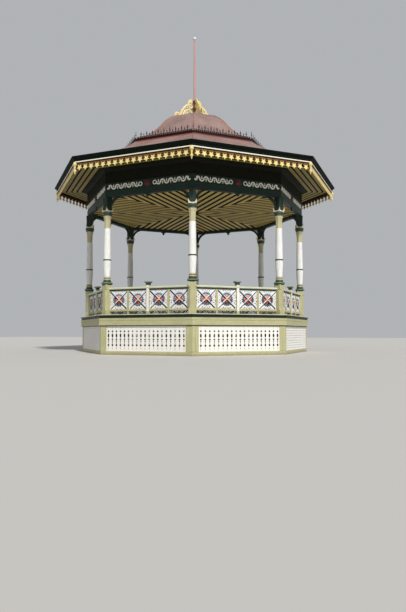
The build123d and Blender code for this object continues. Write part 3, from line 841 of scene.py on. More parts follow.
# Railing panels: two bars each cross in a gilt boss between four petals, and carry a blue ring. Each
# bar is a navy and a pale lath side by side, painted light and shade: the pale lath its lit side, the
# navy one its shaded side. A white fretwork sheet is sawn to cusps round the ring and scallops at its
# edge.
panel_middle = (panel_foot + panel_top) / 2
panel_height = panel_top - panel_foot
sheet_thickness = 0.018
scallop_count, scallop_width, scallop_depth = 3, 0.130, 0.030
cusp_count, cusp_depth = 20, 0.050
ring_outer, ring_inner = 0.208, 0.172
petal_tip, petal_root, petal_half = 0.156, 0.044, 0.064
petal_swell, petal_edge = 0.016, 0.003
bar_edge = 0.65


def circle(across, up, radius, steps=12):
    """A loop of points round (across, up)."""
    t = 2 * pi * np.arange(steps) / steps
    return np.stack([across + radius * np.cos(t), up + radius * np.sin(t)], -1)


def in_plane(loop, angle):
    """A loop of (across, up) points turned anticlockwise about the panel's middle."""
    return loop @ np.array([[cos(angle), sin(angle)], [-sin(angle), cos(angle)]])


def scalloped_row():
    """A row of half rounds: each depth (1 - sin t) inwards at t / pi of a scallop's width."""
    t = np.linspace(0, pi, 6, endpoint=False)
    across = scallop_width * (np.arange(scallop_count)[:, None] + t / pi - scallop_count / 2)
    inwards = np.tile(scallop_depth * (1 - np.sin(t)), (scallop_count, 1))
    return np.stack([across, inwards], -1).reshape(-1, 2)


def sheet_outline(width, height):
    """The fretwork sheet's outer edge: four rows of scallops, with square corners behind the bars."""
    row = scalloped_row()
    row_end = scallop_count * scallop_width / 2
    edges = [
        np.concatenate([[(-length / 2, 0), (-row_end, 0)], row, [(row_end, 0)]]) - (0, away / 2)
        for length, away in ((width, height), (height, width)) * 2
    ]
    return np.concatenate([in_plane(edge, turn * pi / 2) for turn, edge in enumerate(edges)])


def cusped_hole(steps=120):
    """The sheet's middle hole: cusps |cos(n t / 2)| deep all round, from just inside the ring's edge."""
    t = 2 * pi * np.arange(steps) / steps
    radius = ring_outer - 0.003 + cusp_depth * abs(np.cos(cusp_count / 2 * t))
    return np.stack([radius * np.cos(t), radius * np.sin(t)], -1)


# Small round holes in each side of the sheet: how far each is from the side's middle, and its radius
edge_holes = ((0.036, 0.016), (0.128, 0.024))
edge_hole_reach = 0.284
sheet_holes = [cusped_hole()]
for across, radius in edge_holes:
    for side in (-1, 1):
        hole = circle(side * across, -edge_hole_reach, radius)
        sheet_holes += [in_plane(hole, turn * pi / 2) for turn in range(4)]
sheet = moved(
    fretted(sheet_outline(panel_width, panel_height), sheet_holes, sheet_thickness, 0.002),
    x=-sheet_thickness / 2,
)


def panel_ring(thickness, steps=40):
    """A moulded ring in the panel's plane: a section (half cos t, thickness / 2 sin t) carried round."""
    middle, half = (ring_outer + ring_inner) / 2, (ring_outer - ring_inner) / 2
    t = 2 * pi * np.arange(8) / 8 + pi / 8
    around = 2 * pi * np.arange(steps) / steps
    radius = middle + half * np.cos(t)
    return lofted(np.stack([
        np.tile(thickness / 2 * np.sin(t), (steps, 1)),
        np.outer(np.cos(around), radius),
        np.outer(np.sin(around), radius),
    ], -1), ends=False)


def bar(start, end, width, thickness):
    """A straight bar between two (across, up) points whose faces rise to a ridge along the middle."""
    ahead = (end - start) / np.linalg.norm(end - start)
    side = np.array([-ahead[1], ahead[0]]) * width / 2
    across = np.stack([start, end])[:, None] + side * np.array([-1, 0, 1, 1, 0, -1])[:, None]
    deep = thickness / 2 * np.array([bar_edge, 1, bar_edge, -bar_edge, -1, -bar_edge])
    return lofted(np.concatenate([np.tile(deep[:, None], (2, 1, 1)), across], -1))


def petal(angle):
    """A broad petal away from the middle: half width sin(pi t)^0.6 (0.3 + 0.7 t), domed on both faces."""
    t = np.linspace(0.02, 0.98, 9)[:, None]
    bend = 2 * pi * np.arange(8) / 8
    out = petal_root + (petal_tip - petal_root) * t
    side = petal_half * np.sin(pi * t) ** 0.6 * (0.3 + 0.7 * t) * np.cos(bend)
    return lofted(np.stack([
        (petal_swell * np.sin(pi * t) + petal_edge) * np.sin(bend),
        out * cos(angle) - side * sin(angle),
        out * sin(angle) + side * cos(angle),
    ], -1))


def boss(radius, height):
    """A turned button, half an ellipsoid on each side: (height sin t, radius cos t) about the middle."""
    t = np.linspace(-pi / 2 * 0.97, pi / 2 * 0.97, 11)[:, None]
    around = 2 * pi * np.arange(16) / 16
    return lofted(np.stack([
        np.tile(height * np.sin(t), 16),
        radius * np.cos(t) * np.cos(around),
        radius * np.cos(t) * np.sin(around),
    ], -1))


corner_across, corner_up = panel_width / 2 - 0.026, panel_height / 2 - 0.026
ring_piece = panel_ring(0.046)
falling = np.array([(-corner_across, corner_up), (corner_across, -corner_up)])
rising = falling * (1, -1)
fall_up = np.array([0.5, 0.5]) ** 0.5
rise_up = fall_up * (-1, 1)

# Painted light along each diagonal: a navy lath for the bar's shaded side beside a pale lath for its lit
# side
shade_painted_bars = [
    bar(*(falling - 0.015 * fall_up), 0.043, 0.038),
    bar(*(rising - 0.016 * rise_up), 0.034, 0.030),
]
light_painted_bars = [
    bar(*(falling + 0.022 * fall_up), 0.031, 0.034),
    bar(*(rising + 0.012 * rise_up), 0.034, 0.034),
]
# Painted shade and painted highlight for the bars: a navy for their shaded side, a pale blue-white for
# their lit side
bar_shade_navy = painted_timber("bar_painted_shade", (10, 14, 32), (26, 34, 58), roughness=0.4, wear=0.6,
                           specular=0.3)
bar_light_pale = painted_timber("bar_painted_highlight", (226, 232, 246), (238, 241, 248), roughness=0.36, wear=0.6)
ring_blue = painted_timber("ring_blue_paint", (62, 92, 124), (104, 132, 158), roughness=0.36)
orange = painted_timber("orange_paint", (236, 84, 48), (244, 122, 82), roughness=0.38, wear=0.7)
# Painted shade: the low petals take a darker red than the orange of the others
petal_shade_red = painted_timber("petal_painted_shade", (152, 50, 32), (176, 84, 62), roughness=0.38, wear=0.7)
pink = painted_timber("pink_paint", (240, 142, 118), (246, 176, 156), roughness=0.38, wear=0.7)
gilt = painted_timber("gilt_paint", (246, 196, 84), (255, 222, 140), roughness=0.34)
lace_white = painted_timber("lace_paint", (252, 251, 248), (232, 228, 220), roughness=0.42)


def in_bay(shapes):
    """Panel parts put at the four panels of the bay on +X."""
    return joined([
        moved(shape, post_line, place, panel_middle) for place in panel_places for shape in shapes
    ])


for part, shapes, paint, slot, angle in (
    ("lace", [sheet], lace_white, "white_paint", 0),
    ("rings", [ring_piece], ring_blue, "dark_green_paint", 40),
    ("shade_painted_bars", shade_painted_bars, bar_shade_navy, "dark_green_paint", 0),
    ("light_painted_bars", light_painted_bars, bar_light_pale, "white_paint", 0),
    ("side_petals", [petal(0), petal(pi)], orange, "gold_paint", 50),
    ("low_petals", [petal(-pi / 2)], petal_shade_red, "gold_paint", 50),
    ("top_petals", [petal(pi / 2)], pink, "gold_paint", 50),
    ("bosses", [boss(0.046, 0.030)], gilt, "gold_paint", 50),
):
    bay_part = in_bay(shapes)
    for index, turn in enumerate(face_turns):
        make_piece(f"railing_{index + 1}_{part}", turned(bay_part, turn), paint, smooth=angle)


# Beams: dark green timbers over the posts. The frieze above them is a shallow recess with a
# moulded upper edge, which holds a running scroll, and a sawn pendant hangs in mid-bay.
beam_face = post_line + 0.112
beam_back = beam_face - 0.200
beam_top = 5.880
frieze_top = beam_box[1].z + 0.055
frieze_face = beam_face - 0.024
beams = mitred_ring([
    (beam_back, beam_foot + 0.012),
    (beam_back + 0.012, beam_foot),
    (beam_face - 0.030, beam_foot),
    (beam_face - 0.020, beam_foot + 0.010),
    (beam_face - 0.020, beam_foot + 0.040),
    (beam_face - 0.006, beam_foot + 0.050),
    (beam_face - 0.006, beam_foot + 0.120),
    (beam_face - 0.014, beam_foot + 0.128),
    (beam_face - 0.006, beam_foot + 0.136),
    *hollow((beam_face - 0.006, beam_foot + 0.160), (beam_face, beam_top - 0.022), 3),
    (beam_face, beam_top - 0.004),
    (beam_face - 0.004, beam_top),
    (frieze_face, beam_top + 0.006),
    (frieze_face, frieze_top - 0.030),
    (frieze_face + 0.010, frieze_top - 0.022),
    (frieze_face + 0.014, frieze_top - 0.008),
    (frieze_face + 0.014, frieze_top),
    (beam_back, frieze_top),
])
make_piece("beam_timbers", beams, dark_green, "frieze_beams", smooth=35)

pendant_depth = 0.060
pendant_half = np.array([
    (0.110, 0.0), (0.104, -0.016), (0.084, -0.026), (0.060, -0.030), (0.047, -0.044), (0.044, -0.062),
    (0.050, -0.074), (0.046, -0.088), (0.030, -0.100), (0.022, -0.114), (0.010, -0.124),
])
pendant_loop = np.concatenate([pendant_half, (pendant_half * (-1, 1))[::-1]]) + (0, beam_foot + 0.001)
pendant = fretted(pendant_loop, depth=pendant_depth, ease=0.004, along=2)
pendant = moved(pendant, x=beam_face - pendant_depth)
make_piece("beam_pendants", turned_to(pendant, face_turns), dark_green)


# Frieze scrolls: a cream running scroll sawn from thin board on each side of the middle rosette.
# It swings up and down in broad loops round a bud each, from a ring to a leaf by the post.
loop_pitch = 0.158
loop_count = 8
loop_height = 0.072
band_width, band_depth = 0.050, 0.014
bud_radius, bud_drop = 0.028, 0.012
stem_width, stem_start, stem_end = 0.026, 0.020, 0.088
run_start = 0.272
frieze_middle = 6.034


def leftward(path):
    """Unit vectors to the left of a path of points: its direction (a, b) turned to (-b, a)."""
    ahead = np.gradient(path, axis=0)
    ahead /= np.linalg.norm(ahead, axis=1, keepdims=True)
    return np.stack([-ahead[:, 1], ahead[:, 0]], -1)


def band(path, width, depth):
    """A strip of rounded board carried along a path of (across, up) points.

    Its sides lie half the width to the left and right of the path's direction, its back at x = 0
    and its front at x = depth.
    """
    out = depth * np.array([0, 0.6, 1, 1, 0.6, 0])
    aside = width / 2 * np.array([-1, -1, -0.55, 0.55, 1, 1])
    place = path[:, None] + aside[:, None] * leftward(path)[:, None]
    return lofted(np.concatenate([np.tile(out[:, None], (len(path), 1, 1)), place], -1))


def curl(middle, start_angle, turns, outer, inner, steps=14):
    """A flat spiral inwards: the radius falls evenly from outer to inner as the angle turns."""
    t = np.linspace(0, 1, steps)
    radius = outer + (inner - outer) * t
    angle = start_angle + turns * 2 * pi * t
    return np.stack([middle[0] + radius * np.cos(angle), middle[1] + radius * np.sin(angle)], -1)


def wave():
    """The running line: each loop is a pitch long, and its height swings by the root of |cos(pi t)|."""
    t = np.linspace(0.5, loop_count, loop_count * 14)
    swing = np.sign(np.cos(pi * t)) * abs(np.cos(pi * t)) ** 0.5
    return np.stack([run_start + loop_pitch * t, frieze_middle + loop_height * swing], -1)


scroll_parts = [band(wave(), band_width, band_depth)]
for step in range(1, loop_count):
    drop = -1 if step % 2 == 0 else 1
    across = run_start + loop_pitch * step
    bud = circle(across, frieze_middle + drop * bud_drop, bud_radius)
    stem = np.array([(across, frieze_middle + drop * reach) for reach in (stem_start, stem_end)])
    scroll_parts.append(fretted(bud, depth=band_depth * 0.9, ease=0.002))
    scroll_parts.append(band(stem, stem_width, band_depth * 0.8))
end_ring = curl((run_start + 0.012, frieze_middle), 0, 1.0, 0.066, 0.064, 22)
scroll_parts.append(band(end_ring, 0.032, band_depth))
end_leaf = np.array([
    (-0.020, 0.060), (0.020, 0.082), (0.056, 0.070), (0.044, 0.026), (0.070, -0.022), (0.110, -0.006),
    (0.122, -0.044), (0.086, -0.078), (0.034, -0.070), (0.000, -0.028), (-0.020, 0.016),
]) + (run_start + loop_count * loop_pitch, frieze_middle)
scroll_parts.append(fretted(end_leaf, depth=band_depth, ease=0.003))
half_run = moved(joined(scroll_parts), x=frieze_face)
scroll_run = joined([half_run, reflected(half_run)])
scroll_cream = painted_timber("scroll_paint", (253, 251, 238), (238, 234, 214), wear=0.5)
make_piece("frieze_scrolls", turned_to(scroll_run, face_turns), scroll_cream, smooth=40)


# Rosettes: a dark red flower carved from thick board and pinned in the middle of each frieze, six
# round petals on a disc with a domed button.
rosette_radius = 0.126
petal_count = 6
petal_cut = 0.16

# Shares of the radius, and how far out each lies
rosette_profile = (
    (1.0, 0.0), (1.0, 0.012), (0.93, 0.020), (0.72, 0.034), (0.52, 0.026), (0.36, 0.030), (0.24, 0.044),
    (0.06, 0.048),
)


def rosette_flower(steps=48):
    """Rings of radius R s (1 - cut s^3 |cos(n t / 2)|), s being the profile's share, n the petals."""
    t = 2 * pi * np.arange(steps) / steps
    share, out = np.transpose(rosette_profile)[:, :, None]
    reach = rosette_radius * share * (1 - petal_cut * share**3 * abs(np.cos(petal_count / 2 * t)))
    return lofted(np.stack([
        np.tile(frieze_face + out, steps),
        reach * np.cos(t),
        frieze_middle + reach * np.sin(t),
    ], -1))


rosette = rosette_flower()
dark_red = painted_timber("dark_red_paint", (92, 22, 24), (114, 42, 42), roughness=0.4)
make_piece("frieze_rosettes", turned_to(rosette, face_turns), dark_red, smooth=35)


# Brackets: an arched brace on each side of every upper post, dark green like the beams, with an
# orange scroll in the corner behind the arch and a white leaf beside the post.
bracket_radius = 0.500
bracket_thickness = 0.060
bracket_width = 0.085
post_side = bay_reach - upper_width / 2 / cos(half_angle)
arch_middle = np.array([post_side - bracket_radius, beam_foot - bracket_radius])
arch_angle = np.linspace(0, pi / 2, 13)
arch_inner = arch_middle + bracket_radius * np.stack([np.cos(arch_angle), np.sin(arch_angle)], -1)
arch_outer = arch_middle + np.stack([
    np.minimum((bracket_radius + bracket_width) * np.cos(arch_angle), bracket_radius + 0.020),
    np.minimum((bracket_radius + bracket_width) * np.sin(arch_angle), bracket_radius),
], -1)
arch_loop = np.concatenate([arch_inner, arch_outer[::-1]])
arch = moved(fretted(arch_loop, depth=bracket_thickness, ease=0.004), x=post_line - bracket_thickness / 2)
arch_pair = joined([arch, reflected(arch)])
make_piece("bracket_arches", turned_to(arch_pair, face_turns), dark_green, "brackets")

arch_corner = np.array([post_side, beam_foot])
carving_depth = 0.034
scroll_middle = arch_corner + (-0.088, -0.082)
bracket_scroll = band(curl(scroll_middle, pi * 0.25, 1.25, 0.064, 0.014, 26), 0.026, carving_depth)
leaf_shape = np.array([
    (-0.004, -0.300), (-0.040, -0.268), (-0.062, -0.226), (-0.058, -0.186), (-0.074, -0.158),
    (-0.040, -0.166), (-0.026, -0.140), (-0.004, -0.164),
]) + arch_corner
white_leaf = fretted(leaf_shape, depth=carving_depth, ease=0.005, along=2)
dull_orange = painted_timber("dull_orange_paint", (196, 92, 40), (214, 124, 72), roughness=0.4)
for name, carving, paint, slot in (
    ("bracket_scrolls", bracket_scroll, dull_orange, "gold_paint"),
    ("bracket_leaves", white_leaf, leaf_white, "white_paint"),
):
    carving = moved(carving, x=post_line - carving_depth / 2)
    pair = joined([carving, reflected(carving)])
    make_piece(name, turned_to(pair, face_turns), paint, smooth=40)


# Upper wall: upright tongued boards nailed to a core between the frieze and the soffit, over a
# moulded rail on the frieze's head. Their dark green is painted almost black, the shade under the
# eaves.
wall_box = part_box("upper_wall")
wall_face, wall_top = wall_box[1].x, wall_box[1].z
wall_back = wall_face - 0.120
wall_head = wall_top - 0.056
wall_thickness = 0.020
wall_groove = 0.006
# Painted shade: a near black for the wall boards, darker than their dark green
wall_shade_black = painted_timber("wall_painted_shade", (24, 27, 17), (36, 39, 27), roughness=0.7, wear=0.5,
                           specular=0.15)
wall_board = 0.110
wall_half = face_width(wall_face) / 2
wall_count = int(2 * wall_half / wall_board)
wall_pitch = 2 * wall_half / wall_count
mitre_step = wall_thickness * tan(half_angle)
wall_boards = []
for step in range(wall_count):
    low = -wall_half + step * wall_pitch + wall_groove / 2
    high = low + wall_pitch - wall_groove
    wall_boards.append(upright([
        (wall_face - wall_thickness, low + mitre_step if step == 0 else low),
        (wall_face, low),
        (wall_face, high),
        (wall_face - wall_thickness, high - mitre_step if step == wall_count - 1 else high),
    ], frieze_top, wall_head))
wall_core = mitred_board([
    (wall_back, frieze_top),
    (wall_face - wall_thickness + 0.001, frieze_top),
    (wall_face - wall_thickness + 0.001, wall_head),
    (wall_back, wall_top),
])
wall_rail = mitred_board([
    (wall_face - 0.004, frieze_top),
    (wall_face + 0.020, frieze_top + 0.004),
    (wall_face + 0.030, frieze_top + 0.024),
    (wall_face + 0.020, frieze_top + 0.034),
    (wall_face + 0.016, frieze_top + 0.060),
    (wall_face - 0.004, frieze_top + 0.066),
])
wall = joined([*wall_boards, wall_core, wall_rail])
make_piece("upper_wall_boards", turned_to(wall, face_turns), wall_shade_black, "upper_wall",
           ease=0.002)


# Ceiling: olive boards nailed square to each side, with open grooves between them, so that they
# meet in chevrons along the eight hips. They stand a little proud of a lining painted near black,
# the shade in the grooves.
ceiling_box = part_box("ceiling")
ceiling_foot, ceiling_top = ceiling_box[0].z, ceiling_box[1].z
ceiling_reach = ceiling_box[1].x
ceiling_pitch = 0.277
ceiling_board = 0.142
ceiling_thickness = 0.014
narrowest_board = 0.020
hip_gap = 0.004
board_proud = 0.004
olive = painted_timber("olive_paint", (214, 188, 100), (228, 206, 126), roughness=0.6, wear=0.6)
# Painted shade: the lining behind the grooves of the ceiling and soffit is near black
lining_shade_black = painted_timber("lining_painted_shade", (9, 7, 7), (16, 12, 11), roughness=0.8, wear=0.5,
                             specular=0.15)
ceiling_half = face_width(ceiling_reach) / 2
ceiling_boards = []
for place in np.arange(ceiling_pitch / 2, ceiling_half, ceiling_pitch):
    low = place - ceiling_board / 2
    high = min(place + ceiling_board / 2, ceiling_half - 0.002)
    if high - low < narrowest_board:
        continue
    ceiling_boards.append(upright([
        (low / tan(half_angle) + hip_gap, low),
        (ceiling_reach - 0.002, low),
        (ceiling_reach - 0.002, high),
        (high / tan(half_angle) + hip_gap, high),
    ], ceiling_foot, ceiling_foot + ceiling_thickness, along=0))
ceiling_sector = joined([*ceiling_boards, *[reflected(piece) for piece in ceiling_boards]])
make_piece("ceiling_boards", turned_to(ceiling_sector, face_turns), olive, "ceiling",
           ease=0.003)
lining_reach = ceiling_reach / cos(half_angle)
lining_corners = lining_reach * np.stack([np.cos(corner_turns), np.sin(corner_turns)], -1)
lining = upright(lining_corners, ceiling_foot + board_proud, ceiling_top, along=0)
make_piece("ceiling_lining", lining, lining_shade_black)


# Soffit: four wide olive boards under the eaves, run along each side and mitred at the hips, with
# grooves between them over a lining painted near black. Their olive is the ceiling's darkened,
# painted shade under the eaves. A cove painted almost black closes the angle at the wall and takes
# the soffit's innermost strip, painted shade where the eaves are darkest.
soffit_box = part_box("soffit")
soffit_reach = soffit_box[1].x
soffit_foot, soffit_top = soffit_box[0].z, soffit_box[1].z
soffit_rows = 4
cove_reach = wall_face + 0.215
soffit_pitch = (soffit_reach - cove_reach) / soffit_rows
soffit_groove = 0.070
soffit_thickness = 0.012
soffit_boards = []
for row in range(soffit_rows):
    start = cove_reach + row * soffit_pitch + soffit_groove / 2
    end = start + soffit_pitch - soffit_groove
    soffit_boards.append(mitred_board([
        (start, soffit_foot),
        (end, soffit_foot),
        (end, soffit_foot + soffit_thickness),
        (start, soffit_foot + soffit_thickness),
    ], gap=0.004))
soffit = turned_to(joined(soffit_boards), face_turns)
# Painted shade: the ceiling's olive darkened for the boards under the eaves
soffit_shaded_olive = painted_timber("soffit_painted_shade", (144, 126, 62), (164, 146, 82), roughness=0.6, wear=0.6)
make_piece("soffit_boards", soffit, soffit_shaded_olive, "soffit", ease=0.003)
# The soffit's lining takes the same painted shade
soffit_lining = mitred_ring([
    (wall_face, soffit_foot + board_proud),
    (soffit_reach, soffit_foot + board_proud),
    (soffit_reach, soffit_top),
    (wall_face, soffit_top),
])
make_piece("soffit_lining", soffit_lining, lining_shade_black)
# Painted shade: the cove takes the wall's near black for the darkest shade by the wall
wall_cove = mitred_ring([
    (wall_face - 0.004, soffit_foot - 0.110),
    (wall_face + 0.014, soffit_foot - 0.110),
    (wall_face + 0.014, soffit_foot - 0.096),
    *hollow((wall_face + 0.018, soffit_foot - 0.092), (cove_reach - 0.016, soffit_foot - 0.016)),
    (cove_reach, soffit_foot - 0.014),
    (cove_reach, soffit_foot + 0.006),
    (wall_face - 0.004, soffit_foot + 0.006),
])
make_piece("wall_cove", wall_cove, wall_shade_black, smooth=40)


# Gutter: a boxed timber gutter moulded like a cornice, dark green, in eight mitred lengths: a
# fillet, a deep hollow, a bead and a flat crown. A pale edge strip runs along its foot.
gutter_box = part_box("gutter")
gutter_foot, gutter_top = gutter_box[0].z, gutter_box[1].z
gutter_face = gutter_box[1].x
gutter_back = soffit_reach
eave_face = gutter_face - 0.101
gutter = mitred_ring([
    (gutter_back, gutter_foot),
    (eave_face, gutter_foot),
    (eave_face + 0.006, gutter_foot + 0.036),
    (eave_face + 0.018, gutter_foot + 0.042),
    (eave_face + 0.022, gutter_foot + 0.052),
    *hollow((eave_face + 0.020, gutter_foot + 0.058), (gutter_face - 0.024, gutter_top - 0.062), 6),
    (gutter_face - 0.018, gutter_top - 0.056),
    (gutter_face - 0.012, gutter_top - 0.048),
    (gutter_face - 0.018, gutter_top - 0.042),
    (gutter_face - 0.004, gutter_top - 0.036),
    (gutter_face, gutter_top - 0.028),
    (gutter_face, gutter_top),
    (gutter_back, gutter_top),
])
gutter_green = painted_timber("gutter_paint", (8, 20, 15), (22, 34, 28), roughness=0.65, specular=0.12)
make_piece("gutter_cornice", gutter, gutter_green, "gutter", smooth=40)
edge_strip = mitred_ring([
    (eave_face - 0.002, gutter_foot - 0.028),
    (eave_face + 0.018, gutter_foot - 0.028),
    (eave_face + 0.024, gutter_foot - 0.020),
    (eave_face + 0.014, gutter_foot + 0.010),
    (eave_face - 0.002, gutter_foot + 0.014),
])
strip_cream = painted_timber("strip_cream_paint", (255, 250, 226), (255, 252, 238), roughness=0.4, wear=0.5)
make_piece("gutter_edge_strip", edge_strip, strip_cream, ease=0.002)


# Valance: a strip sawn to a row of lobes, with a dark lath along its head, carries a row of fat gilt
# stars, one point down, front and back. The strip is painted brown, its gilt darkened as the shade
# under the gutter. A turned drop closes each corner.
valance_back = eave_face - 0.024
strip_depth = 0.020
star_count = 18
valance_half = 2.137
star_pitch = 2 * valance_half / star_count
star_places = -valance_half + star_pitch * (np.arange(star_count) + 0.5)
star_middle = -0.207
star_radius, star_waist = 0.108, 0.056
star_depth = 0.012
lobe_foot, lobe_chamfer = -0.134, 0.012
notch_radius, notch_middle = 0.034, -0.108


def star_loop():
    """An inverted five-pointed star: points at the radius, 36 degrees from waists between them."""
    angle = -pi / 2 + pi / 5 * np.arange(10)
    reach = np.where(np.arange(10) % 2, star_waist, star_radius)
    return np.stack([reach * np.cos(angle), reach * np.sin(angle)], -1)


def strip_loop():
    """The strip's outline: a flat-footed lobe over each star, and round notches between the lobes.

    One lobe runs down a quarter of the notch to its left, (radius cos t, radius sin t), round its
    chamfered foot, and up the quarter to its right. It is repeated at every star.
    """
    t = np.linspace(pi / 2, 0, 4)
    quarter = np.stack([
        notch_radius * np.cos(t) - star_pitch / 2,
        notch_middle + notch_radius * np.sin(t),
    ], -1)
    lobe_half = star_pitch / 2 - notch_radius
    left = np.concatenate([quarter, [
        (-lobe_half, lobe_foot + lobe_chamfer),
        (-lobe_half + lobe_chamfer, lobe_foot),
    ]])
    lobe = np.concatenate([left[1:], (left * (-1, 1))[::-1]])
    lobes = lobe + np.stack([star_places, np.zeros(star_count)], -1)[:, None]
    return np.concatenate([
        [(-valance_half, notch_middle + notch_radius)],
        lobes.reshape(-1, 2),
        [(valance_half, 0.0), (-valance_half, 0.0)],
    ])


strip = fretted(strip_loop(), depth=strip_depth, ease=0.003)
star = moved(fretted(star_loop(), depth=star_depth, ease=0.005, along=2), x=strip_depth)
back_star = star._replace(
    points=star.points * (-1, 1, 1) + (2 * strip_depth, 0, 0),
    faces=[block[:, ::-1] for block in star.faces],
)
stars = joined([
    moved(piece, y=place, z=star_middle) for place in star_places for piece in (star, back_star)
])
gold = painted_timber("gold_paint", (255, 230, 142), (255, 242, 186), roughness=0.36)
# Painted shade: the strip's brown is its gilt darkened under the gutter
strip_shaded_gilt = painted_timber("strip_painted_shade", (122, 72, 30), (148, 98, 50), roughness=0.5)
strip = moved(strip, x=valance_back, z=gutter_foot)
make_piece("valance_strips", turned_to(strip, face_turns), strip_shaded_gilt, "valance")

lath_front = valance_back + strip_depth + 0.004
lath_back = lath_front - 0.020
lath = mitred_ring([
    (lath_back, gutter_foot - 0.068),
    (lath_front, gutter_foot - 0.066),
    (lath_front, gutter_foot - 0.028),
    (lath_back, gutter_foot - 0.028),
])
make_piece("valance_lath", lath, gutter_green)
stars = moved(stars, x=valance_back, z=gutter_foot)
make_piece("valance_stars", turned_to(stars, face_turns), gold)

corner_drop_reach = 5.780
drop_profile = (
    (0.004, -0.430), (0.012, -0.418), (0.018, -0.390), (0.026, -0.355), (0.044, -0.330), (0.052, -0.305),
    (0.044, -0.282), (0.026, -0.270), (0.022, -0.262), (0.030, -0.254), (0.030, -0.244), (0.020, -0.236),
    (0.022, -0.215), (0.034, -0.204), (0.040, -0.186), (0.034, -0.168), (0.024, -0.158), (0.030, -0.146),
    (0.052, -0.130), (0.068, -0.104), (0.071, -0.070), (0.062, -0.036), (0.040, -0.014), (0.040, -0.001),
)
corner_drop = turning(np.array(drop_profile) + (0, gutter_foot), 24)
corner_drop = moved(corner_drop, x=corner_drop_reach)
make_piece("valance_corner_drops", turned_to(corner_drop, corner_turns), gold, smooth=40)


# Lower roof: eight hollow slopes of painted sheet metal from the gutter up to the curb, steep at the
# top. Each is laid in courses whose laps show as fine ridges, with a slim roll along every hip.
roof_top_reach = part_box("dome_curb")[1].x
roof_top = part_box("lower_roof")[1].z
roof_top_slope = radians(39)
roof_thickness = 0.070
roof_courses = 9
roof_lap = 0.010


def arc_between(start, end, slope, steps):
    """Points of the arc that leaves start at a slope, as an angle below the horizontal outwards.

    The arc's middle is on the line through start square to the tangent, where both ends are as far.
    """
    start, end = np.array(start), np.array(end)
    square = np.array([-sin(slope), -cos(slope)])
    chord = end - start
    radius = chord @ chord / 2 / (chord @ square)
    middle = start + radius * square
    first = atan2(*(start - middle)[::-1])
    last = atan2(*(end - middle)[::-1])
    if abs(last - first) > pi:
        last -= 2 * pi * np.sign(last - first)
    angle = np.linspace(first, last, steps)
    return middle + abs(radius) * np.stack([np.cos(angle), np.sin(angle)], -1)


def speckled_roof(name, colour, light, stain):
    """Matt roof paint with a mineral grit: speckles of the colour, cloudy fading and a reddish stain."""
    paint = bpy.data.materials.new(name)
    paint.use_nodes = True
    tree = paint.node_tree
    surface = tree.nodes["Principled BSDF"]
    place = add_node(tree, "ShaderNodeTexCoord").outputs["Object"]
    speckle = noise(tree, place, 19.0, 5.0, 0.85)
    clouds = noise(tree, place, 1.1, 6.0, 0.6)
    stains = noise(tree, place, 4.5, 5.0, 0.65)
    dark, pale = (linear(np.asarray(colour) * share) for share in (0.76, 1.06))
    base = mixed(tree, ramped(tree, speckle, 0.38, 0.62), dark, pale)
    base = mixed(tree, ramped(tree, clouds, 0.40, 0.70), base, mixed(tree, 0.55, base, linear(light)))
    base = mixed(tree, ramped(tree, stains, 0.54, 0.74), base, mixed(tree, 0.35, base, linear(stain)))
    tree.links.new(base, surface.inputs["Base Color"])
    shine = add_node(tree, "ShaderNodeMapRange", {
        "Value": stains, "To Min": 0.50, "To Max": 0.75,
    }).outputs["Result"]
    tree.links.new(shine, surface.inputs["Roughness"])
    grit = add_node(tree, "ShaderNodeBump", {"Height": speckle, "Strength": 0.3, "Distance": 0.003})
    tree.links.new(grit.outputs["Normal"], surface.inputs["Normal"])
    return paint


rose = speckled_roof("roof_paint", (150, 122, 114), (172, 146, 139), (146, 98, 86))
roof_eave = (gutter_face, gutter_top)
roof_line = arc_between((roof_top_reach, roof_top), roof_eave, roof_top_slope, roof_courses + 1)
roof_run = np.gradient(roof_line, axis=0)
upright_thickness = roof_thickness * np.hypot(*roof_run.T) / roof_run[:, 0]
roof_under = np.stack([roof_line[:, 0], np.maximum(roof_line[:, 1] - upright_thickness, gutter_top)], -1)
stepped = (roof_line[1:-1, None] - [(0, 0), (0, roof_lap)]).reshape(-1, 2)
roof_section = np.concatenate([roof_line[:1], stepped, roof_line[-1:], roof_under[-2::-1]])
make_piece("lower_roof_sheets", mitred_ring(roof_section), rose, "lower_roof")


def hip_roll(line, width, height):
    """A roll along a hip: half rounds (width / 2 cos t, height sin t) on a line of (out, up) points.

    The line is a section of the faces, so that the hip lies out / cos(half_angle) from the middle.
    The roll is made on +X before it is turned to each corner, and 0.4 of its height is sunk in.
    """
    line = line / (cos(half_angle), 1)
    normal = leftward(line)
    normal *= np.sign(normal[:, 1:2])
    t = np.linspace(0, pi, 7)
    lift = height * np.sin(t) - 0.4 * height
    place = line[:, None] + normal[:, None] * lift[:, None]
    aside = np.tile(width / 2 * np.cos(t), (len(line), 1))
    return lofted(np.stack([place[:, :, 0], aside, place[:, :, 1]], -1), along=0)


hip_rose = speckled_roof("hip_paint", (142, 110, 103), (168, 138, 131), (138, 86, 76))
roof_hip = hip_roll(roof_line[:-1] + (0, -0.004), 0.050, 0.024)
make_piece("lower_roof_hips", turned_to(roof_hip, corner_turns), hip_rose, smooth=50)
flashing_width = 0.038
flashing_reach = roof_top_reach + flashing_width
flashing_foot = roof_top - flashing_width * tan(roof_top_slope)
top_flashing = mitred_ring([
    (roof_top_reach, flashing_foot),
    (flashing_reach, flashing_foot),
    (flashing_reach + 0.004, flashing_foot + 0.012),
    (roof_top_reach + 0.006, roof_top + 0.022),
    (roof_top_reach, roof_top + 0.022),
])
flashing_red = painted_timber("flashing_paint", (150, 66, 56), (172, 92, 78), roughness=0.45)
make_piece("roof_top_flashing", top_flashing, flashing_red, ease=0.002)


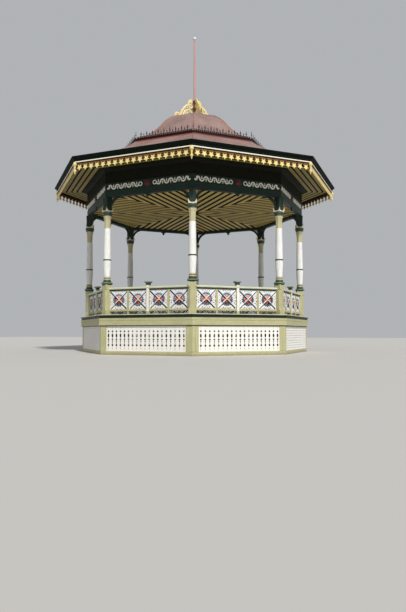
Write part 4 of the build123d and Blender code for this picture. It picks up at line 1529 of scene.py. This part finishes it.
# Curb: the maroon board that stands round the foot of the dome, with a moulded foot and head.
curb_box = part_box("dome_curb")
curb_foot, curb_top = curb_box[0].z, curb_box[1].z
curb_face = curb_box[1].x
curb_back = curb_face - 0.070
curb = mitred_ring([
    (curb_back, curb_foot),
    (curb_face - 0.010, curb_foot),
    (curb_face - 0.010, roof_top + 0.020),
    (curb_face, roof_top + 0.024),
    (curb_face, roof_top + 0.036),
    (curb_face - 0.012, roof_top + 0.042),
    (curb_face - 0.012, curb_top - 0.034),
    (curb_face - 0.002, curb_top - 0.026),
    (curb_face, curb_top - 0.012),
    (curb_face - 0.004, curb_top),
    (curb_back, curb_top),
])
maroon = painted_timber("maroon_paint", (26, 10, 11), (44, 20, 20), roughness=0.55, wear=0.6,
                        specular=0.25)
make_piece("curb_boards", curb, maroon, "dome_curb", ease=0.001)


# Cresting: cast iron screwed down along the curb, a low rail pierced with small rounds that carries
# tall spikes with side buds, a short spike between each two, and a taller finial at each corner.
cresting_height = 0.060
cresting_depth = 0.012
round_pitch = 0.081
spike_pitch = 0.243
tall_spikes = 9
cresting_half = face_width(roof_top_reach) / 2 - 0.048


def spear(height, foot, bud):
    """A spear's outline, half of it mirrored: a stem, a waist, a bud to each side and a long point."""
    half = np.array([
        (foot, 0.0), (0.45 * foot, 0.12 * height), (0.40 * foot, 0.34 * height), (bud, 0.42 * height),
        (0.8 * bud, 0.50 * height), (0.42 * foot, 0.54 * height), (0.66 * foot, 0.68 * height),
        (0.18 * foot, 0.98 * height),
    ])
    return np.concatenate([half, (half * (-1, 1))[::-1]])


def spike(place, height, foot, bud):
    """A spear cast on the rail at a place along it."""
    cast = fretted(spear(height, foot, bud), depth=cresting_depth, ease=0.002)
    return moved(cast, y=place, z=cresting_height)


rail_rounds = [
    circle(-cresting_half + (step + 0.5) * round_pitch, cresting_height / 2, 0.019, 8)
    for step in range(int(2 * cresting_half / round_pitch))
]
rail_edge = [
    (-cresting_half, 0),
    (cresting_half, 0),
    (cresting_half, cresting_height),
    (-cresting_half, cresting_height),
]
crest_parts = [fretted(rail_edge, rail_rounds, cresting_depth, 0.002)]
for step in range(tall_spikes):
    place = (step - (tall_spikes - 1) / 2) * spike_pitch
    crest_parts.append(spike(place, 0.170, 0.026, 0.040))
    if step:
        crest_parts.append(spike(place - spike_pitch / 2, 0.107, 0.020, 0.028))
crest = moved(joined(crest_parts), x=roof_top_reach - cresting_depth, z=curb_top)
corner_profile = (
    (0.012, 0.0), (0.012, 0.060), (0.008, 0.070), (0.008, 0.110), (0.020, 0.122), (0.022, 0.138),
    (0.012, 0.150), (0.008, 0.164), (0.014, 0.190), (0.010, 0.220), (0.002, 0.285),
)
crest_reach = (roof_top_reach - cresting_depth / 2) / cos(half_angle)
corner_finial = moved(turning(np.array(corner_profile) + (0, curb_top), 16), x=crest_reach)
iron = painted_timber("maroon_iron", (34, 13, 14), (58, 26, 25), roughness=0.5, bump=0.2, specular=0.3)
crests = joined([turned_to(crest, face_turns), turned_to(corner_finial, corner_turns)])
make_piece("cresting_iron", crests, iron, "cresting", smooth=30)


# Dome: eight curved faces of painted sheet metal that spring outwards at the foot and close to
# a flat crown, with a rounded roll over every hip.
dome_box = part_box("dome")
dome_foot, dome_crown = dome_box[0].z, dome_box[1].z
dome_reach = dome_box[1].x
dome_shoulder = (1.650, dome_foot + 0.965)
dome_slope = radians(52)
dome_crown_reach = 0.240
dome_wall = 0.06

# Two arcs meet at the shoulder with one slope, and the inner line lies a wall's thickness inside
flare = arc_between(dome_shoulder, (dome_reach, dome_foot), dome_slope, 14)
crown = arc_between(dome_shoulder, (dome_crown_reach, dome_crown), dome_slope, 16)
dome_line = np.concatenate([flare[::-1], crown[1:]])
inner_line = dome_line + dome_wall * leftward(dome_line)
inner_line[0] = (dome_reach - dome_wall, dome_foot)
inner_line[1:3, 1] = np.maximum(inner_line[1:3, 1], dome_foot)
inner_line[-1] = (dome_crown_reach, dome_crown - dome_wall)
dome_section = np.concatenate([dome_line, inner_line[::-1]])
make_piece("dome_gores", mitred_ring(dome_section), rose, "dome", smooth=30)
dome_hip = hip_roll(dome_line[1:-1], 0.060, 0.030)
hip_red = speckled_roof("dome_hip_paint", (162, 112, 100), (184, 140, 127), (156, 86, 72))
make_piece("dome_hips", turned_to(dome_hip, corner_turns), hip_red, smooth=50)


# Dome scrolls: four pierced braces sawn from thick board and painted gold, from the shoulders of
# the dome up to the plinth, each a toe arch, two rising curls and a top curl.
scroll_depth = 0.040
scroll_turns = face_turns[1::2]


def crown_height(distance):
    """Height of the dome's upper arc at a distance out from the middle."""
    return np.interp(distance, crown[::-1, 0], crown[::-1, 1])


def thick_band(path, width, taper=0.0):
    """A strip of the brace, eight-sided so that its edges are rounded on both faces of the board.

    Its half width falls from width / 2 by a share of taper at the path's far end.
    """
    deep = scroll_depth / 2 * np.array([-0.6, 0.6, 1, 1, 0.6, -0.6, -1, -1])
    half = width / 2 * np.linspace(1, 1 - taper, len(path))[:, None, None]
    share = np.array([-1, -1, -0.5, 0.5, 1, 1, 0.5, -0.5])[:, None]
    place = path[:, None] + half * share * leftward(path)[:, None]
    return lofted(np.stack([
        place[:, :, 0],
        np.tile(deep, (len(path), 1)),
        place[:, :, 1] + dome_crown,
    ], -1), along=0)


def smooth_path(points, steps=8):
    """A curve through the points, each span a cubic of t between b and c and their neighbours a and d.

    It is half of 2b + (c - a) t + (2a - 5b + 4c - d) t^2 + (3b - a - 3c + d) t^3.
    """
    points = np.asarray(points, float)
    padded = np.concatenate([2 * points[:1] - points[1:2], points, 2 * points[-1:] - points[-2:-1]])
    t = np.linspace(0, 1, steps, endpoint=False)[:, None]
    a, b, c, d = (padded[shift:shift + len(points) - 1, None] for shift in range(4))
    spans = 2 * b + (c - a) * t + (2 * a - 5 * b + 4 * c - d) * t**2 + (3 * b - a - 3 * c + d) * t**3
    return np.concatenate([0.5 * spans.reshape(-1, 2), points[-1:]])


def seat(distance, over):
    """A place of that height over the dome's surface, as (out, up over the crown's level)."""
    return distance, crown_height(distance) - dome_crown + over


scroll_width = 0.066
toe_arch = smooth_path([
    seat(0.885, 0.018), (0.868, 0.035), (0.835, 0.112), (0.775, 0.138), (0.715, 0.112), (0.675, 0.040),
    seat(0.660, 0.018),
])
toe_curl = curl((0.775, 0.044), pi * 0.1, -0.85, 0.046, 0.014)
long_back = smooth_path([
    seat(0.632, 0.018), (0.622, 0.090), (0.582, 0.215), (0.500, 0.362), (0.400, 0.474), (0.300, 0.536),
    (0.225, 0.530),
])
back_curl = curl((0.500, 0.262), -pi * 0.35, 0.9, 0.050, 0.014)
low_arch = smooth_path([
    seat(0.545, 0.020), (0.520, 0.090), (0.440, 0.240), (0.330, 0.318), (0.230, 0.322), (0.150, 0.262),
    (0.128, 0.180),
])
eye_ring = curl((0.178, 0.488), -pi * 0.25, 1.0, 0.068, 0.066, 22)
inner_curl = curl((0.400, 0.150), pi * 0.55, 1.1, 0.078, 0.016, 20)
top_back = smooth_path([(0.258, 0.540), (0.272, 0.610), (0.256, 0.680), (0.212, 0.738), (0.150, 0.756)])
top_curl = curl((0.168, 0.676), pi * 0.48, 1.05, 0.060, 0.016, 20)

# Beads along the edges: place and radius
knobs = (
    ((0.140, 0.775), 0.036), ((0.240, 0.740), 0.030), ((0.285, 0.600), 0.034), ((0.400, 0.512), 0.032),
    ((0.510, 0.400), 0.034), ((0.600, 0.270), 0.034), ((0.640, 0.140), 0.030), ((0.330, 0.400), 0.034),
    ((0.230, 0.400), 0.030), ((0.840, 0.140), 0.026), (seat(0.905, 0.040), 0.028),
)
knob_half_depth = 0.6 * scroll_depth


def knob(place, radius):
    """A bead on a scroll's edge: a ball (radius cos t, half depth sin t) flattened to the board."""
    t = np.linspace(-0.48 * pi, 0.48 * pi, 9)[:, None]
    around = 2 * pi * np.arange(14) / 14
    return lofted(np.stack([
        place[0] + radius * np.cos(t) * np.cos(around),
        np.tile(knob_half_depth * np.sin(t), 14),
        dome_crown + place[1] + radius * np.cos(t) * np.sin(around),
    ], -1))


scroll = joined([
    thick_band(toe_arch, scroll_width),
    thick_band(toe_curl, 0.042, 0.3),
    thick_band(long_back, scroll_width),
    thick_band(back_curl, 0.048, 0.3),
    thick_band(low_arch, scroll_width * 0.9),
    thick_band(eye_ring, 0.048),
    thick_band(inner_curl, 0.050, 0.35),
    thick_band(top_back, scroll_width),
    thick_band(top_curl, 0.050, 0.35),
    *[knob(place, radius) for place, radius in knobs],
])
make_piece("scroll_braces", turned_to(scroll, scroll_turns), gold, "dome_scrolls", smooth=45)


# Flagpole: a turned maroon plinth with rings on a round foot, and a tapered pole painted a dull
# rose that stands in it, with a white ball on top.
pole_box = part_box("flagpole")
pole_top = pole_box[1].z
plinth_height = 0.763
plinth_top = dome_crown + plinth_height

# Radius, and height over the dome's crown
plinth_profile = (
    (0.236, -0.055), (0.236, 0.0), (0.225, 0.006), (0.222, 0.030), (0.205, 0.046), (0.130, 0.054),
    (0.096, 0.060), (0.098, 0.080), (0.092, 0.104), (0.074, 0.120), (0.060, 0.160), (0.055, 0.240),
    (0.060, 0.340), (0.078, 0.370), (0.092, 0.390), (0.094, 0.412), (0.086, 0.434), (0.064, 0.452),
    (0.055, 0.520), (0.059, 0.640), (0.078, 0.690), (0.093, 0.716), (0.091, 0.740), (0.068, 0.756),
    (0.048, plinth_height),
)
plinth = turning(np.array(plinth_profile) + (0, dome_crown), 32)
plinth_red = painted_timber("plinth_paint", (112, 54, 44), (140, 78, 64), roughness=0.45)
make_piece("pole_plinth", plinth, plinth_red, smooth=35)

pole_radius, tip_radius = 0.045, 0.032
tenon_radius, tenon_length = 0.036, 0.020
rise = np.linspace(0.1, 1, 8)
pole_taper = np.stack([
    pole_radius + (tip_radius - pole_radius) * rise**1.5,
    plinth_top + rise * (pole_top - plinth_top),
], -1)
pole_foot = [(tenon_radius, plinth_top - tenon_length), (pole_radius, plinth_top)]
pole = turning(np.concatenate([pole_foot, pole_taper]), 24)
pole_rose = painted_timber("pole_paint", (210, 152, 141), (224, 176, 166), roughness=0.45, wear=0.6)
make_piece("pole_shaft", pole, pole_rose, "flagpole", smooth=40)

ball_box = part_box("pole_ball")
ball_middle = (ball_box[0].z + ball_box[1].z) / 2
ball_radius = 0.076
ball_angle = np.linspace(-0.46 * pi, 0.46 * pi, 15)
ball_half_height = (ball_box[1].z - ball_box[0].z) / 2 / sin(ball_angle[-1])
ball = turning(np.stack([
    ball_radius * np.cos(ball_angle),
    ball_middle + ball_half_height * np.sin(ball_angle),
], -1), 28)
make_piece("pole_ball_turning", ball, white, "pole_ball", smooth=50)


# Stage: a plain pale floor, light from a broad lamp to the right of the camera, and a pale sky that
# looks brighter to the camera and in gloss than it lights. The camera stands low in front of a
# corner, at the photograph's own angle.
floor_half = 60.0
floor_corners = [
    (-floor_half, -floor_half, 0),
    (floor_half, -floor_half, 0),
    (floor_half, floor_half, 0),
    (-floor_half, floor_half, 0),
]
floor_mesh = bpy.data.meshes.new("floor")
floor_mesh.from_pydata(floor_corners, [], [(0, 1, 2, 3)])
floor = bpy.data.objects.new("floor", floor_mesh)
bpy.context.scene.collection.objects.link(floor)
floor_paint = bpy.data.materials.new("studio_floor")
floor_paint.use_nodes = True
floor_surface = floor_paint.node_tree.nodes["Principled BSDF"]
floor_surface.inputs["Base Color"].default_value = linear((206, 205, 201))
floor_surface.inputs["Roughness"].default_value = 0.9
floor_mesh.materials.append(floor_paint)

sun_azimuth, sun_elevation = radians(-46), radians(41)
sun_data = bpy.data.lights.new("key_light", "SUN")
sun_data.energy = 2.98
sun_data.angle = radians(5)
sun_data.color = (1.0, 0.975, 0.94)
sun = bpy.data.objects.new("key_light", sun_data)
toward_sun = Vector((
    cos(sun_elevation) * cos(sun_azimuth),
    cos(sun_elevation) * sin(sun_azimuth),
    sin(sun_elevation),
))
sun.rotation_euler = toward_sun.to_track_quat("Z", "Y").to_euler()
bpy.context.scene.collection.objects.link(sun)

world = bpy.data.worlds.new("studio")
world.use_nodes = True
bpy.context.scene.world = world
background = world.node_tree.nodes["Background"]
rays = add_node(world.node_tree, "ShaderNodeLightPath").outputs
seen = rays["Is Camera Ray"]
for kind in ("Is Glossy Ray", "Is Transmission Ray"):
    seen = add_node(world.node_tree, "ShaderNodeMath", {0: seen, 1: rays[kind]}, operation="ADD").outputs[0]
lighting_level, seen_level = 0.31, 0.47
sky_level = add_node(world.node_tree, "ShaderNodeMapRange", {
    "Value": seen, "To Min": lighting_level, "To Max": seen_level,
}).outputs["Result"]
world.node_tree.links.new(sky_level, background.inputs["Strength"])
background.inputs["Color"].default_value = (0.93, 0.96, 1.0, 1.0)

camera_data = bpy.data.cameras.new("camera")
camera_data.lens = 32.21
camera = bpy.data.objects.new("camera", camera_data)
camera.location = (9.077, -20.954, 0.790)
camera.rotation_euler = (radians(90 + 2.76), radians(0.03), radians(22.54))
bpy.context.scene.collection.objects.link(camera)
bpy.context.scene.camera = camera
bpy.context.scene.view_settings.view_transform = "Standard"
